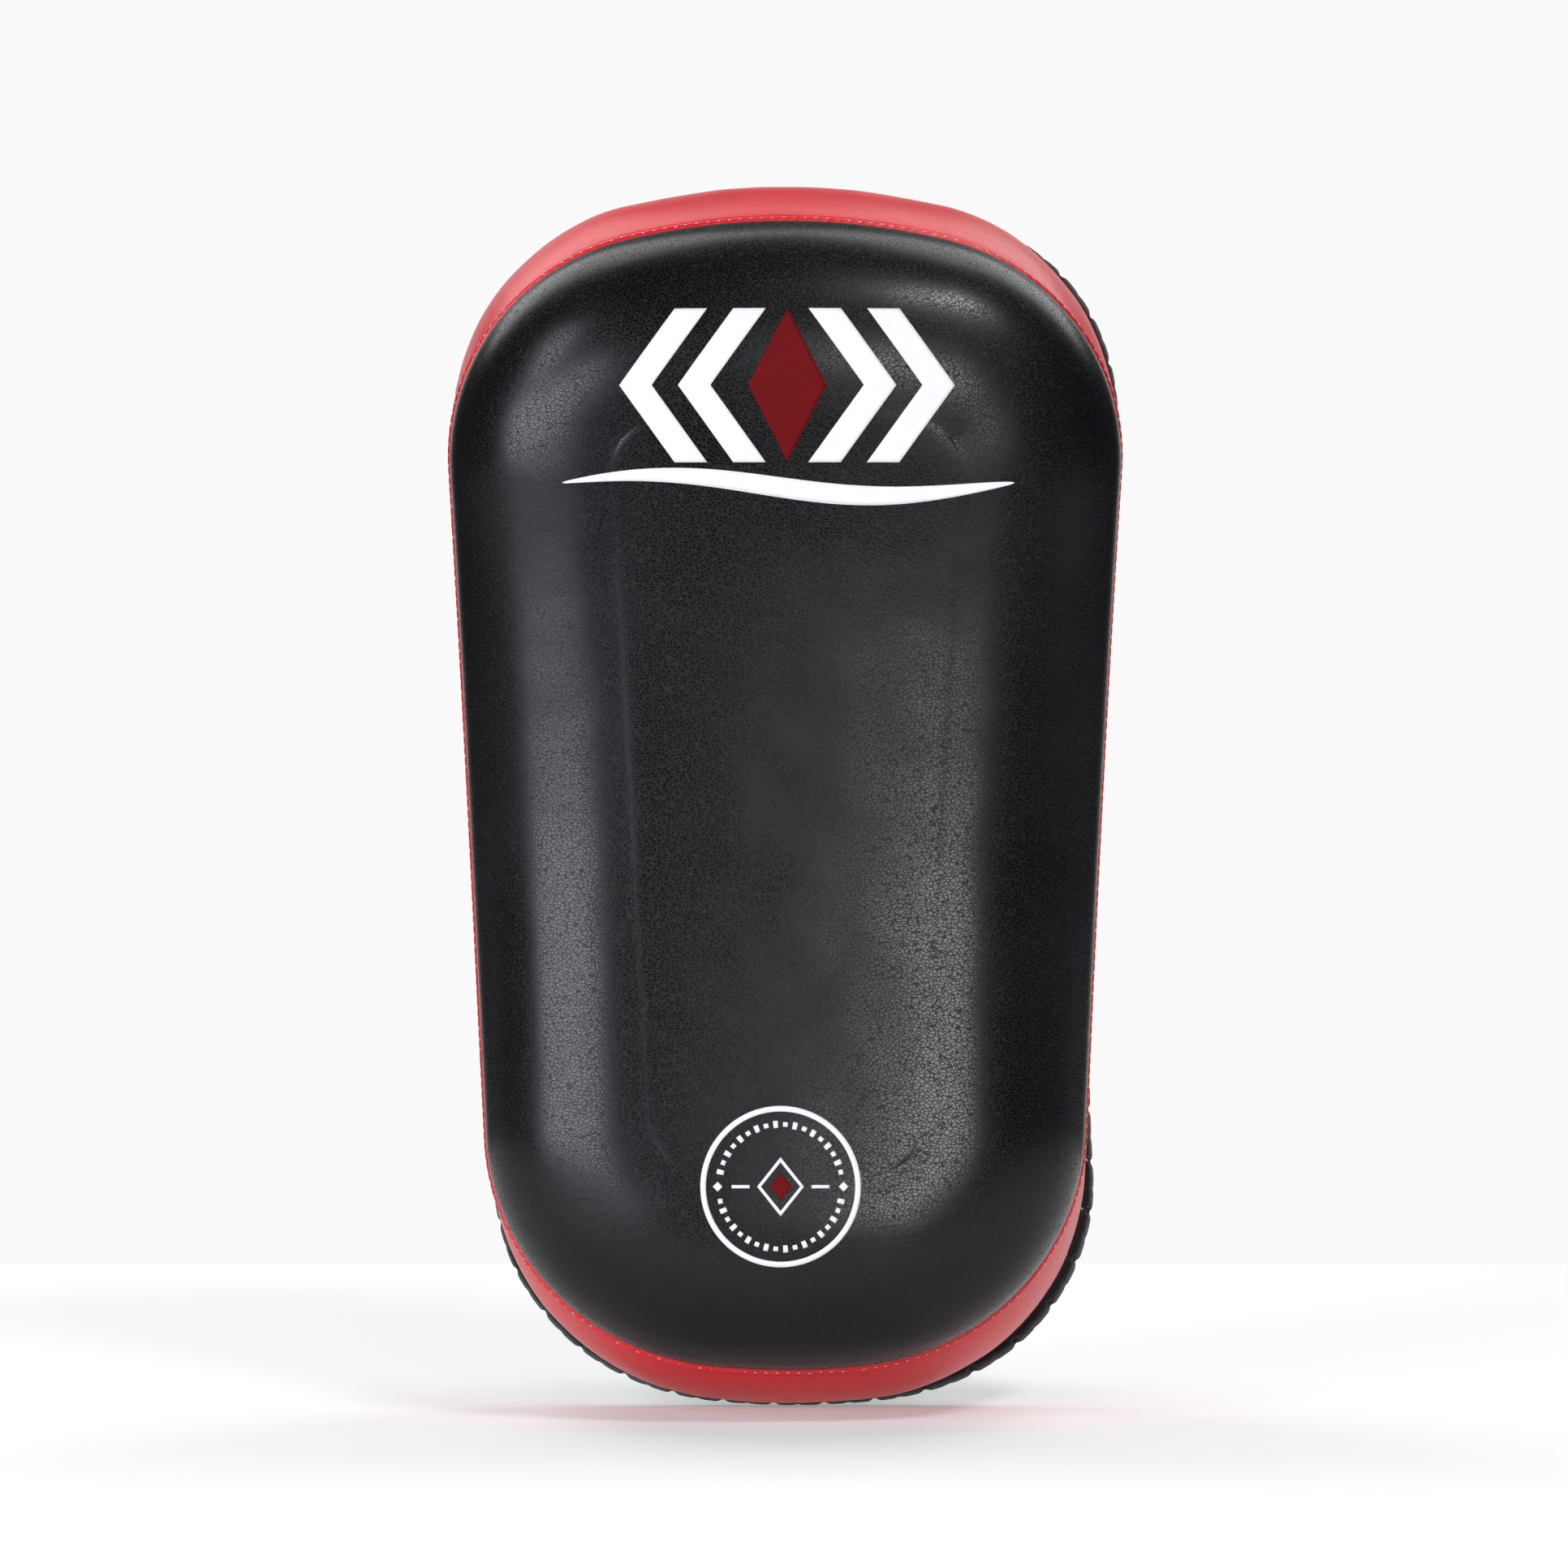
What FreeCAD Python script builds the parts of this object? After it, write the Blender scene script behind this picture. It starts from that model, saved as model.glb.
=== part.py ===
"""Thai pad: a bent, padded kick shield with a grip and two ring-and-flap forearm straps.

Two frames are used.  The pad frame has its origin at the middle of the padding, +Z towards the
top end, +Y out of the back and -Y out of the striking face.  The part's own frame is parallel to
it, with its origin at the middle of the hand grip.  The padding is bent about an axis that lies
in front of the striking face, parallel to X, so "depth" below always means the distance from the
middle surface of the padding, measured along that bend's radius: negative towards the face.
"""
import FreeCAD, Part
import math
import os

from FreeCAD import Placement, Rotation, Vector

SIZES = {
    # outline, at the plane through the middle of the padding
    "top_half_width": 105.6,
    "bottom_half_width": 94.4,
    "end_half_length": 193.4,
    "top_arc": 205.0,
    "top_corner": 74.0,
    "bottom_arc": 220.0,
    "bottom_corner": 79.0,
    # depths through the padding
    "bend_radius": 700.0,
    "face_depth": -45.0,
    "seam_depth": -8.5,
    "back_depth": 45.0,
    "foam_split": 18.0,
    "leather": 2.0,
    "band_leather": 2.4,
    "welt_height": 3.0,
    "welt_proud": 1.0,
    "shoulder": 30.0,
    "binding_width": 9.0,
    "binding_proud": 1.6,
    "binding_lap": 5.0,
    "layer_gap": 0.1,
    # forearm cushion
    "cushion_half_width": 42.0,
    "cushion_low": -150.0,
    "cushion_high": 45.0,
    "cushion_thick": 15.0,
    "cushion_corner": 12.0,
    "cushion_cover_thick": 1.5,
    # forearm straps, in each strap's own frame on the back panel
    "strap_width": 45.0,
    "strap_thick": 3.0,
    "arch_radius": 48.0,
    "arch_centre": 28.0,
    "anchor_end": 81.0,
    "anchor_bend": 5.0,
    "surface_gap": 0.1,
    "ring_wire": 2.0,
    "ring_bar_height": 6.5,
    "ring_pitch": 14.0,
    "ring_half_length": 26.5,
    "ring_corner": 5.0,
    "turn_radius": 3.0,
    "hinge_angle": 10.0,
    "hinge_gap": 0.6,
    "flap_end": 100.0,
    "patch_width": 41.0,
    "patch_start": 14.0,
    "patch_end": 95.0,
    "loop_thick": 2.7,
    "hook_thick": 2.8,
    "keeper_wall": 2.0,
    "keeper_play": 0.3,
    "keeper_wrap": 40.0,
    "keeper_width": 44.0,
    "keeper_tail": 81.0,
    "keeper_tail_thick": 4.0,
    "upper_strap_height": 5.0,
    "lower_strap_height": -100.0,
    # reinforcing patches and rivets
    "patch_thick": 2.0,
    "anchor_patch_inner": 55.0,
    "anchor_patch_width": 53.0,
    "rivet_head": 4.6,
    "rivet_dome": 2.0,
    "rivet_shank": 2.0,
    "rivet_hole": 2.15,
    "washer_radius": 5.0,
    "washer_thick": 1.2,
    "washer_drop": 0.6,
    "washer_recess": 6.0,
    "recess_depth": 4.0,
    "anchor_rivet_reach": 68.0,
    "anchor_rivet_spacing": 30.0,
    # hand grip
    "grip_height": 112.0,
    "grip_standoff": 52.0,
    "grip_strap_width": 24.0,
    "grip_strap_thick": 3.6,
    "grip_leg": 58.0,
    "grip_bend": 9.0,
    "grip_anchor_end": 88.0,
    "grip_length": 100.0,
    "grip_radius": 16.0,
    "grip_sleeve_wall": 1.8,
    "grip_patch_width": 36.0,
    "grip_rivet_inner": 70.0,
    "grip_rivet_outer": 81.0,
}

PAST_END = 30.0      # how far the large cutting solids run past what they cut
PAST_FACE = 1.0      # how far the cutters of the holes run past each face
PLANE_FRONT = -85.0  # the planes of the two outlines that the wall is ruled between
PLANE_BACK = 60.0

doc = FreeCAD.newDocument("thai_pad")
sheet = doc.addObject("Spreadsheet::Sheet", "Sizes")
for row, (alias, value) in enumerate(SIZES.items(), start=1):
    sheet.set(f"A{row}", alias.replace("_", " "))
    sheet.set(f"B{row}", str(value))
    sheet.setAlias(f"B{row}", alias)
doc.recompute()

nodes = {}


def size(alias):
    """The value of one cell of the sheet."""
    return float(sheet.get(alias))


def add(kind, name, **sizes):
    """A document object whose named sizes follow expressions over the sheet's cells."""
    item = doc.addObject(kind, name)
    item.Label = name
    for prop, expression in sizes.items():
        item.setExpression(prop, expression)
    return item


def cell(expression):
    """An expression over aliases, written the way the document reads it."""
    words = expression.split()
    return " ".join(f"Sizes.{word}" if word in SIZES else word for word in words)


def keep(node, item, place=None):
    """Record an object as one piece of the pad, in its place in the part's own frame."""
    item.Label = node
    item.Placement = FRAME.multiply(place or Placement())
    nodes[node] = item
    return item


def on_back(height, lift=0.0):
    """The place on the back panel at a height: Y out of the panel, Z along it, X across."""
    reach = size("bend_radius") + size("back_depth")
    angle = math.asin(height / reach)
    reach += lift
    centre = Vector(0, reach * math.cos(angle) - size("bend_radius"), reach * math.sin(angle))
    return Placement(centre, Rotation(Vector(1, 0, 0), math.degrees(angle)))


# the part's own frame: its origin is the middle of the grip
FRAME = Placement(-on_back(size("grip_height"), size("grip_standoff")).Base, Rotation())
UPPER = on_back(size("upper_strap_height"))
LOWER = on_back(size("lower_strap_height"))
GRIP = on_back(size("grip_height"))


# ---------------------------------------------------------------- the padded body

def arc(centre, radius, start, end, plane):
    """An arc in a plane of constant Y, from one direction to another, both as angles."""
    spots = [
        Vector(centre[0] + radius * math.cos(a), plane, centre[1] + radius * math.sin(a))
        for a in (start, (start + end) / 2, end)
    ]
    return Part.Arc(*spots).toShape()


def outline(grow, plane):
    """The pad's outline in a plane: tangent arcs and two straight tapering sides."""
    slope = size("end_half_length") / math.sqrt(
        (size("bend_radius") + size("back_depth")) ** 2 - size("end_half_length") ** 2
    )
    half = (size("bend_radius") + plane) * slope
    ends = []
    for end, width, big, small in (
        (1, "top_half_width", "top_arc", "top_corner"),
        (-1, "bottom_half_width", "bottom_arc", "bottom_corner"),
    ):
        across = size(width) - size(small)
        rise = math.sqrt((size(big) - size(small)) ** 2 - across ** 2)
        arc_centre = (0.0, end * (half - size(big)))
        corner = (across, arc_centre[1] + end * rise)
        ends.append((arc_centre, size(big) + grow, corner, size(small) + grow))
    (top, top_r, high, high_r), (low_arc, low_arc_r, low, low_r) = ends
    gap = (high[0] - low[0], high[1] - low[1])
    lean = math.atan2(gap[1], gap[0]) - math.acos((low_r - high_r) / math.hypot(*gap))
    top_turn = math.atan2(high[1] - top[1], high[0] - top[0])
    low_turn = math.atan2(low[1] - low_arc[1], low[0] - low_arc[0])

    def mirror(spot):
        return (-spot[0], spot[1])

    def touch(centre, radius, angle):
        return Vector(centre[0] + radius * math.cos(angle), plane, centre[1] + radius * math.sin(angle))

    flip = math.pi - lean
    edges = [
        arc(top, top_r, math.pi - top_turn, top_turn, plane),
        arc(high, high_r, top_turn, lean, plane),
        Part.makeLine(touch(high, high_r, lean), touch(low, low_r, lean)),
        arc(low, low_r, lean, low_turn, plane),
        arc(low_arc, low_arc_r, low_turn, -math.pi - low_turn, plane),
        arc(mirror(low), low_r, -math.pi - low_turn, flip - 2 * math.pi, plane),
        Part.makeLine(touch(mirror(low), low_r, flip), touch(mirror(high), high_r, flip)),
        arc(mirror(high), high_r, flip, math.pi - top_turn, plane),
    ]
    return Part.Wire(edges)


def column(name, grow):
    """A solid with the pad's outline, its walls along the radii of the bend."""
    item = doc.addObject("Part::Feature", name)
    item.Shape = Part.makeLoft([outline(grow, PLANE_FRONT), outline(grow, PLANE_BACK)], True, True)
    return item


def drum(name, depth):
    """A cylinder about the bend's axis, out to one depth of the padding."""
    item = add("Part::Cylinder", name, Radius=cell("bend_radius + " + depth))
    item.Height = 2 * (size("top_half_width") + PAST_END)
    turn = Rotation(Vector(0, 1, 0), 90)
    item.Placement = Placement(Vector(-item.Height.Value / 2, -size("bend_radius"), 0), turn)
    return item


def boolean(kind, name, first, second):
    """A two-operand cut, fuse or common."""
    item = doc.addObject("Part::" + kind, name)
    item.Base = first
    item.Tool = second
    return item


def layer(name, shape, near, far):
    """The part of a solid between two depths of the padding."""
    shell = boolean("Cut", name + "_shell", drum(name + "_far", far), drum(name + "_near", near))
    return boolean("Common", name, shape, shell)


def ring_column(name, outer, inner):
    """A wall that follows the outline, between two offsets of it."""
    return boolean("Cut", name, column(name + "_outer", outer), column(name + "_inner", inner))


def rounded_front(name, shape, radius):
    """Rounds the edges where the striking face meets the sides."""
    doc.recompute()
    front = size("bend_radius") + size("face_depth") + 2 * size("leather")
    rim = []
    for index, edge in enumerate(shape.Shape.Edges, start=1):
        spots = [edge.valueAt(edge.FirstParameter), edge.valueAt(edge.LastParameter)]
        if all(math.hypot(p.y + size("bend_radius"), p.z) < front for p in spots):
            rim.append((index, radius, radius))
    item = doc.addObject("Part::Fillet", name)
    item.Base = shape
    item.Edges = rim
    return item


def padding():
    """The leather skins and the foam layers of the bent pad."""
    leather = size("leather")
    gap = size("layer_gap")
    shoulder = size("shoulder")
    outer = layer("face_outer", column("face_outer_column", 0), "face_depth", "seam_depth")
    outer = rounded_front("face_outer_round", outer, shoulder)
    inner = layer(
        "face_inner", column("face_inner_column", -leather),
        "face_depth + leather", "seam_depth + welt_height",
    )
    inner = rounded_front("face_inner_round", inner, shoulder - leather)
    keep("face_cover", boolean("Cut", "face_cover", outer, inner))

    foam = layer(
        "strike_foam_block", column("strike_foam_column", -leather - gap),
        "face_depth + leather + layer_gap", "seam_depth - layer_gap",
    )
    keep("strike_foam", rounded_front("strike_foam", foam, shoulder - leather))

    inset = -size("band_leather") - gap
    core = layer("core_foam", column("core_foam_column", inset), "seam_depth", "foam_split")
    keep("core_foam", core)
    back = layer(
        "back_foam_block", column("back_foam_column", inset),
        "foam_split + layer_gap", "back_depth - leather - layer_gap",
    )
    recesses = drilled("back_foam_recesses", "washer_recess", size("recess_depth"))
    keep("back_foam", boolean("Cut", "back_foam", back, recesses))

    panel = layer("panel_sheet", column("panel_column", inset), "back_depth - leather", "back_depth")
    holes = drilled("panel_holes", "rivet_hole", leather + PAST_FACE)
    keep("back_panel", boolean("Cut", "back_panel", panel, holes))

    welt = layer(
        "seam_welt", ring_column("welt_ring", size("welt_proud"), inset + gap / 2),
        "seam_depth + layer_gap", "seam_depth + welt_height - layer_gap",
    )
    keep("seam_welt", welt)
    band = layer(
        "side_band", ring_column("band_ring", 0, -size("band_leather")),
        "seam_depth + welt_height", "back_depth",
    )
    keep("side_band", band)

    proud = size("binding_proud")
    lap = layer(
        "binding_lap_ring", ring_column("lap_ring", proud, gap / 2),
        "back_depth - binding_lap", "back_depth + layer_gap",
    )
    flat = layer(
        "binding_flat_ring", ring_column("flat_ring", proud, -size("binding_width")),
        "back_depth + layer_gap", "back_depth + leather",
    )
    keep("edge_binding", boolean("Fuse", "edge_binding", lap, flat))


# ---------------------------------------------------------------- rivets and their holes

def rivet_places():
    """Each group of rivets: its node, the place it is measured in, and where its rivets stand."""
    reach = -size("anchor_rivet_reach")
    half = size("anchor_rivet_spacing") / 2
    across = [side * size(f"grip_rivet_{row}") for side in (-1, 1) for row in ("inner", "outer")]
    return {
        "upper": (UPPER, [(reach, -half), (reach, half)], size("strap_thick")),
        "lower": (LOWER, [(reach, -half), (reach, half)], size("strap_thick")),
        "grip": (GRIP, [(x, 0.0) for x in across], size("grip_strap_thick")),
    }


def stand(place, x, z, lift=0.0):
    """A cylinder's place on the back, its axis out of the panel."""
    return place.multiply(Placement(Vector(x, lift, z), Rotation(Vector(1, 0, 0), -90)))


def bores(name, groups, radius, low, high):
    """Cylinders of one radius at rivets: groups hold a place and the spots of its rivets."""
    cutters = []
    for place, spots in groups:
        for x, z in spots:
            cutter = add("Part::Cylinder", f"{name}_{len(cutters)}", Radius=cell(radius))
            cutter.Height = high - low
            cutter.Placement = stand(place, x, z, low)
            cutters.append(cutter)
    item = doc.addObject("Part::MultiFuse", name)
    item.Shapes = cutters
    return item


def drilled(name, radius, depth):
    """Cylinders down into the back at every rivet of the pad."""
    groups = [(place, spots) for place, spots, _ in rivet_places().values()]
    return bores(name, groups, radius, -depth, PAST_FACE)


def rivet_groups():
    """Domed rivets over the patches, and the washers they are set on behind the back panel."""
    shank = size("rivet_shank")
    dome = size("rivet_dome")
    head = size("rivet_head")
    wrap = (head ** 2 + dome ** 2) / (2 * dome)
    gap = size("surface_gap")
    washer_top = size("leather") + size("washer_drop")
    tail = washer_top + size("washer_thick") + gap
    for group, (place, spots, strap) in rivet_places().items():
        seat = strap + size("patch_thick") + 3 * gap
        rivets = []
        washers = []
        for x, z in spots:
            ball = Part.makeSphere(wrap, Vector(0, 0, seat + dome - wrap))
            cap = ball.common(Part.makeCylinder(head, dome, Vector(0, 0, seat)))
            pin = Part.makeCylinder(shank, seat + tail, Vector(0, 0, -tail))
            disc = Part.makeCylinder(size("washer_radius"), size("washer_thick"),
                                     Vector(0, 0, -washer_top - size("washer_thick")))
            bore = Part.makeCylinder(shank + gap / 2, 2 * tail, Vector(0, 0, -2 * tail))
            for shapes, shape in ((rivets, cap.fuse(pin).removeSplitter()), (washers, disc.cut(bore))):
                shape.Placement = stand(place, x, z)
                shapes.append(shape)
        for node, shapes in ((f"{group}_rivets", rivets), (f"{group}_washers", washers)):
            item = doc.addObject("Part::Feature", node)
            item.Shape = Part.makeCompound(shapes)
            keep(node, item)


# ---------------------------------------------------------------- sketched pieces

def body(name):
    """An empty PartDesign body."""
    item = doc.addObject("PartDesign::Body", name)
    item.Label = name
    return item


def plane_of(owner, role):
    """One of a body's own origin planes."""
    return next(f for f in owner.Origin.OriginFeatures if f.Role == role)


def sketch(owner, name, role):
    """A sketch on one of its body's origin planes."""
    item = owner.newObject("Sketcher::SketchObject", name)
    item.AttachmentSupport = (plane_of(owner, role), "")
    item.MapMode = "FlatFace"
    return item


def spot(x, y):
    return Vector(x, y, 0)


def turn(centre, radius, start, end):
    """A sketched arc, counter-clockwise between two angles in degrees."""
    circle = Part.Circle(spot(*centre), Vector(0, 0, 1), radius)
    return Part.ArcOfCircle(circle, math.radians(start), math.radians(end))


def lines(*spots):
    """Straight sketch edges through the spots."""
    return [Part.LineSegment(spot(*a), spot(*b)) for a, b in zip(spots, spots[1:])]


def padded_profile(name, edges, width):
    """A closed profile across the strap, padded both ways along the forearm."""
    owner = body(name)
    profile = sketch(owner, name + "_profile", "XY_Plane")
    profile.addGeometry(edges, False)
    pad = owner.newObject("PartDesign::Pad", name + "_pad")
    pad.Profile = profile
    pad.Midplane = True
    pad.setExpression("Length", cell(width))
    return owner


def arch_band(name, inner, outer, start, end, width):
    """A strip of the strap's arch between two radii and two angles."""
    centre = (0.0, size("arch_centre"))

    def at(radius, angle):
        return (radius * math.cos(math.radians(angle)), centre[1] + radius * math.sin(math.radians(angle)))

    edges = [turn(centre, inner, start, end), turn(centre, outer, start, end)]
    edges += lines(at(inner, start), at(outer, start))
    edges += lines(at(inner, end), at(outer, end))
    return padded_profile(name, edges, width)


def strap_radii():
    """Radii of the arch: strap inside and outside, then the returned flap's inside and outside."""
    inside = size("arch_radius")
    outside = inside + size("strap_thick")
    returned = outside + 2 * size("turn_radius")
    return inside, outside, returned, returned + size("strap_thick")


def strap_main(name):
    """From its stitched anchor over the forearm, round the ring's bar and up to the flap."""
    inside, outside, back_in, back_out = strap_radii()
    rise = size("arch_centre")
    bend = size("anchor_bend")
    floor = size("surface_gap")
    thick = size("strap_thick")
    bar = (outside + size("turn_radius"), size("ring_bar_height"))
    foot = (-inside - bend, floor + bend)
    stop = size("hinge_angle") - size("hinge_gap")
    tip = math.radians(stop)
    edges = lines((-size("anchor_end"), floor), (foot[0], floor))
    edges.append(turn(foot, bend, -90, 0))
    edges += lines((-inside, foot[1]), (-inside, rise))
    edges.append(turn((0, rise), inside, 0, 180))
    edges += lines((inside, rise), (inside, bar[1]))
    edges.append(turn(bar, size("turn_radius") + thick, 180, 360))
    edges += lines((back_out, bar[1]), (back_out, rise))
    edges.append(turn((0, rise), back_out, 0, stop))
    edges += lines(
        (back_out * math.cos(tip), rise + back_out * math.sin(tip)),
        (back_in * math.cos(tip), rise + back_in * math.sin(tip)),
    )
    edges.append(turn((0, rise), back_in, 0, stop))
    edges += lines((back_in, rise), (back_in, bar[1]))
    edges.append(turn(bar, size("turn_radius"), 180, 360))
    edges += lines((outside, bar[1]), (outside, rise))
    edges.append(turn((0, rise), outside, 0, 180))
    edges += lines((-outside, rise), (-outside, foot[1]))
    edges.append(turn(foot, bend - thick, -90, 0))
    edges += lines(
        (foot[0], floor + thick), (-size("anchor_end"), floor + thick), (-size("anchor_end"), floor),
    )
    return padded_profile(name, edges, "strap_width")


def bored_strap(node, strap, group):
    """A strap with the holes that its rivets pass through, kept in its place on the back."""
    place, spots, thick = rivet_places()[group]
    holes = bores(node + "_holes", [(Placement(), spots)], "rivet_hole",
                  -PAST_FACE, size("surface_gap") + thick + PAST_FACE)
    keep(node, boolean("Cut", node, strap, holes), place)


def ring(name):
    """A rectangular ring of round wire, its strap bar on the side towards the forearm."""
    _, outside, _, _ = strap_radii()
    near = outside + size("turn_radius")
    far = near + size("ring_pitch")
    half = size("ring_half_length")
    corner = size("ring_corner")
    owner = body(name)
    path = sketch(owner, name + "_path", "XZ_Plane")
    path.addGeometry(
        lines((near, 0), (near, half - corner))
        + [turn((near + corner, half - corner), corner, 90, 180)]
        + lines((near + corner, half), (far - corner, half))
        + [turn((far - corner, half - corner), corner, 0, 90)]
        + lines((far, half - corner), (far, corner - half))
        + [turn((far - corner, corner - half), corner, 270, 360)]
        + lines((far - corner, -half), (near + corner, -half))
        + [turn((near + corner, corner - half), corner, 180, 270)]
        + lines((near, corner - half), (near, 0)),
        False,
    )
    wire = sketch(owner, name + "_wire", "XY_Plane")
    wire.addGeometry(Part.Circle(spot(near, 0), Vector(0, 0, 1), size("ring_wire")), False)
    pipe = owner.newObject("PartDesign::AdditivePipe", name + "_pipe")
    pipe.Profile = wire
    pipe.Spine = path
    return owner


def keeper_tab(name):
    """A leather tab folded round the ring's outer bar and stitched down beside it."""
    _, outside, _, _ = strap_radii()
    axis = (outside + size("turn_radius") + size("ring_pitch"), size("ring_bar_height"))
    inner = size("ring_wire") + size("keeper_play")
    outer = inner + size("keeper_wall")
    floor = size("surface_gap")
    top = floor + size("keeper_tail_thick")
    wrap = size("keeper_wrap")
    drop = math.radians(wrap)
    leave = (axis[0] + outer * math.sin(drop), axis[1] + outer * math.cos(drop))
    meet = leave[0] + (leave[1] - top) / math.tan(drop)
    edges = [turn(axis, outer, 90 - wrap, 270), Part.Circle(spot(*axis), Vector(0, 0, 1), inner)]
    edges += lines(
        leave, (meet, top), (size("keeper_tail"), top), (size("keeper_tail"), floor),
        (axis[0], floor), (axis[0], axis[1] - outer),
    )
    return padded_profile(name, edges, "keeper_width")


def patch(node, place, inner, outer, width, thick, holes):
    """A rectangular leather patch over a strap's end, with holes for its rivets."""
    owner = body(node)
    shape = sketch(owner, node + "_outline", "XZ_Plane")
    half = size(width) / 2
    corners = ((inner, -half), (outer, -half), (outer, half), (inner, half), (inner, -half))
    shape.addGeometry(lines(*corners), False)
    for x, z in holes:
        shape.addGeometry(Part.Circle(spot(x, z), Vector(0, 0, 1), size("rivet_hole")), False)
    pad = owner.newObject("PartDesign::Pad", node + "_pad")
    pad.Profile = shape
    pad.Reversed = True
    pad.setExpression("Length", cell("patch_thick"))
    lift = Placement(Vector(0, thick + 2 * size("surface_gap"), 0), Rotation())
    return keep(node, owner, place.multiply(lift))


def forearm_strap(group, place):
    """Every piece of one forearm strap."""
    _, outside, back_in, back_out = strap_radii()
    gap = size("layer_gap")
    bored_strap(f"{group}_strap", strap_main(f"{group}_strap_body"), group)
    keep(f"{group}_flap", arch_band(f"{group}_flap", back_in, back_out,
                                    size("hinge_angle") + size("hinge_gap"), size("flap_end"),
                                    "strap_width"), place)
    keep(f"{group}_loop_patch", arch_band(f"{group}_loop_patch", outside + gap / 2,
                                          outside + gap / 2 + size("loop_thick"),
                                          size("patch_start"), size("patch_end"), "patch_width"), place)
    keep(f"{group}_hook_patch", arch_band(f"{group}_hook_patch", back_in - gap / 2 - size("hook_thick"),
                                          back_in - gap / 2,
                                          size("patch_start"), size("patch_end"), "patch_width"), place)
    lift = Placement(Vector(0, size("ring_bar_height"), 0), Rotation())
    keep(f"{group}_ring", ring(f"{group}_ring"), place.multiply(lift))
    keep(f"{group}_keeper_tab", keeper_tab(f"{group}_keeper_tab"), place)
    patch(f"{group}_anchor_patch", place, -size("anchor_end"), -size("anchor_patch_inner"),
          "anchor_patch_width", size("strap_thick"), rivet_places()[group][1])


def hand_grip():
    """The padded bar that the hand closes on, its strap and the patches over its ends."""
    rise = size("grip_standoff")
    thick = size("grip_strap_thick")
    leg = size("grip_leg")
    bend = size("grip_bend")
    floor = size("surface_gap")
    end = size("grip_anchor_end")
    top = rise + thick / 2
    low = rise - thick / 2
    foot = bend / 2 + thick
    edges = lines((end, floor + thick), (leg + foot, floor + thick))
    edges += lines((end, floor), (end, floor + thick))
    edges += lines((leg - bend, low), (bend - leg, low))
    edges += lines((leg - bend, top), (bend - leg, top))
    for side in (1, -1):
        def bow(centre, radius, start, stop):
            if side < 0:
                start, stop = 180 - stop, 180 - start
            return turn((side * centre[0], centre[1]), radius, start, stop)

        edges.append(bow((leg - bend, top - bend), bend, 0, 90))
        edges.append(bow((leg - bend, top - bend), bend - thick, 0, 90))
        edges.append(bow((leg + foot - thick, floor + foot), foot, 180, 270))
        edges.append(bow((leg + foot - thick, floor + foot), foot - thick, 180, 270))
        edges += lines((side * leg, top - bend), (side * leg, floor + foot))
        edges += lines((side * (leg - thick), top - bend), (side * (leg - thick), floor + foot))
        edges += lines((side * (leg + foot - thick), floor), (side * end, floor))
        edges += lines((side * (leg + foot - thick), floor + thick), (side * (leg + foot), floor + thick))
    edges += lines((-end, floor + thick), (-leg - foot, floor + thick))
    edges += lines((-end, floor), (-end, floor + thick))
    bored_strap("grip_strap", padded_profile("grip_strap_body", edges, "grip_strap_width"), "grip")

    lie = Rotation(Vector(0, 1, 0), 90)

    def rod(name, radius, slack=0.0):
        item = add("Part::Cylinder", name, Radius=cell(radius))
        item.setExpression("Height", cell("grip_length") + f" + {slack}")
        item.Placement = Placement(Vector(-(size("grip_length") + slack) / 2, rise, 0), lie)
        return item

    bore = rod("sleeve_bore", "grip_radius - grip_sleeve_wall", PAST_END)
    keep("grip_sleeve", boolean("Cut", "grip_sleeve", rod("sleeve_rod", "grip_radius"), bore), GRIP)
    slot = add("Part::Box", "filler_slot", Width=cell("grip_strap_thick + 2 * layer_gap"),
               Height=cell("grip_strap_width + 2 * layer_gap"))
    slot.Length = size("grip_length") + PAST_END
    slot.Placement = Placement(
        Vector(-slot.Length.Value / 2, rise - thick / 2 - size("layer_gap"),
               -size("grip_strap_width") / 2 - size("layer_gap")), Rotation())
    filler = rod("filler_rod", "grip_radius - grip_sleeve_wall - layer_gap")
    keep("grip_filler", boolean("Cut", "grip_filler", filler, slot), GRIP)
    for side, name in ((-1, "left"), (1, "right")):
        holes = [(x, z) for x, z in rivet_places()["grip"][1] if x * side > 0]
        near = min(side * (leg + foot), side * end)
        far = max(side * (leg + foot), side * end)
        patch(f"grip_patch_{name}", GRIP, near, far, "grip_patch_width", thick, holes)


def cushion():
    """The padded bolster that the forearm lies on: foam under a leather cover."""
    def block(name, shrink, low, high):
        half = size("cushion_half_width") - shrink
        box = doc.addObject("Part::Box", name + "_box")
        box.Length = 2 * half
        box.Width = 2 * PAST_END + size("back_depth") + size("cushion_thick")
        box.Height = size("cushion_high") - size("cushion_low") - 2 * shrink
        box.Placement = Placement(Vector(-half, -PAST_END, size("cushion_low") + shrink), Rotation())
        slab = layer(name + "_slab", box, low, high)
        doc.recompute()
        round_to = size("cushion_corner") - shrink
        rims = [(index, round_to, round_to) for index, edge in enumerate(slab.Shape.Edges, start=1)
                if edge.Length < 2 * size("cushion_thick")]
        item = doc.addObject("Part::Fillet", name)
        item.Base = slab
        item.Edges = rims
        return item

    wall = size("cushion_cover_thick")
    outer = block("cushion_outer", 0.0, "back_depth + layer_gap", "back_depth + cushion_thick")
    inner = block("cushion_inner", wall, "back_depth - layer_gap",
                  "back_depth + cushion_thick - cushion_cover_thick")
    keep("cushion_cover", boolean("Cut", "cushion_cover", outer, inner))
    keep("cushion_foam", block("cushion_foam", wall + size("layer_gap"), "back_depth + layer_gap",
                               "back_depth + cushion_thick - cushion_cover_thick - layer_gap"))


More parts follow.
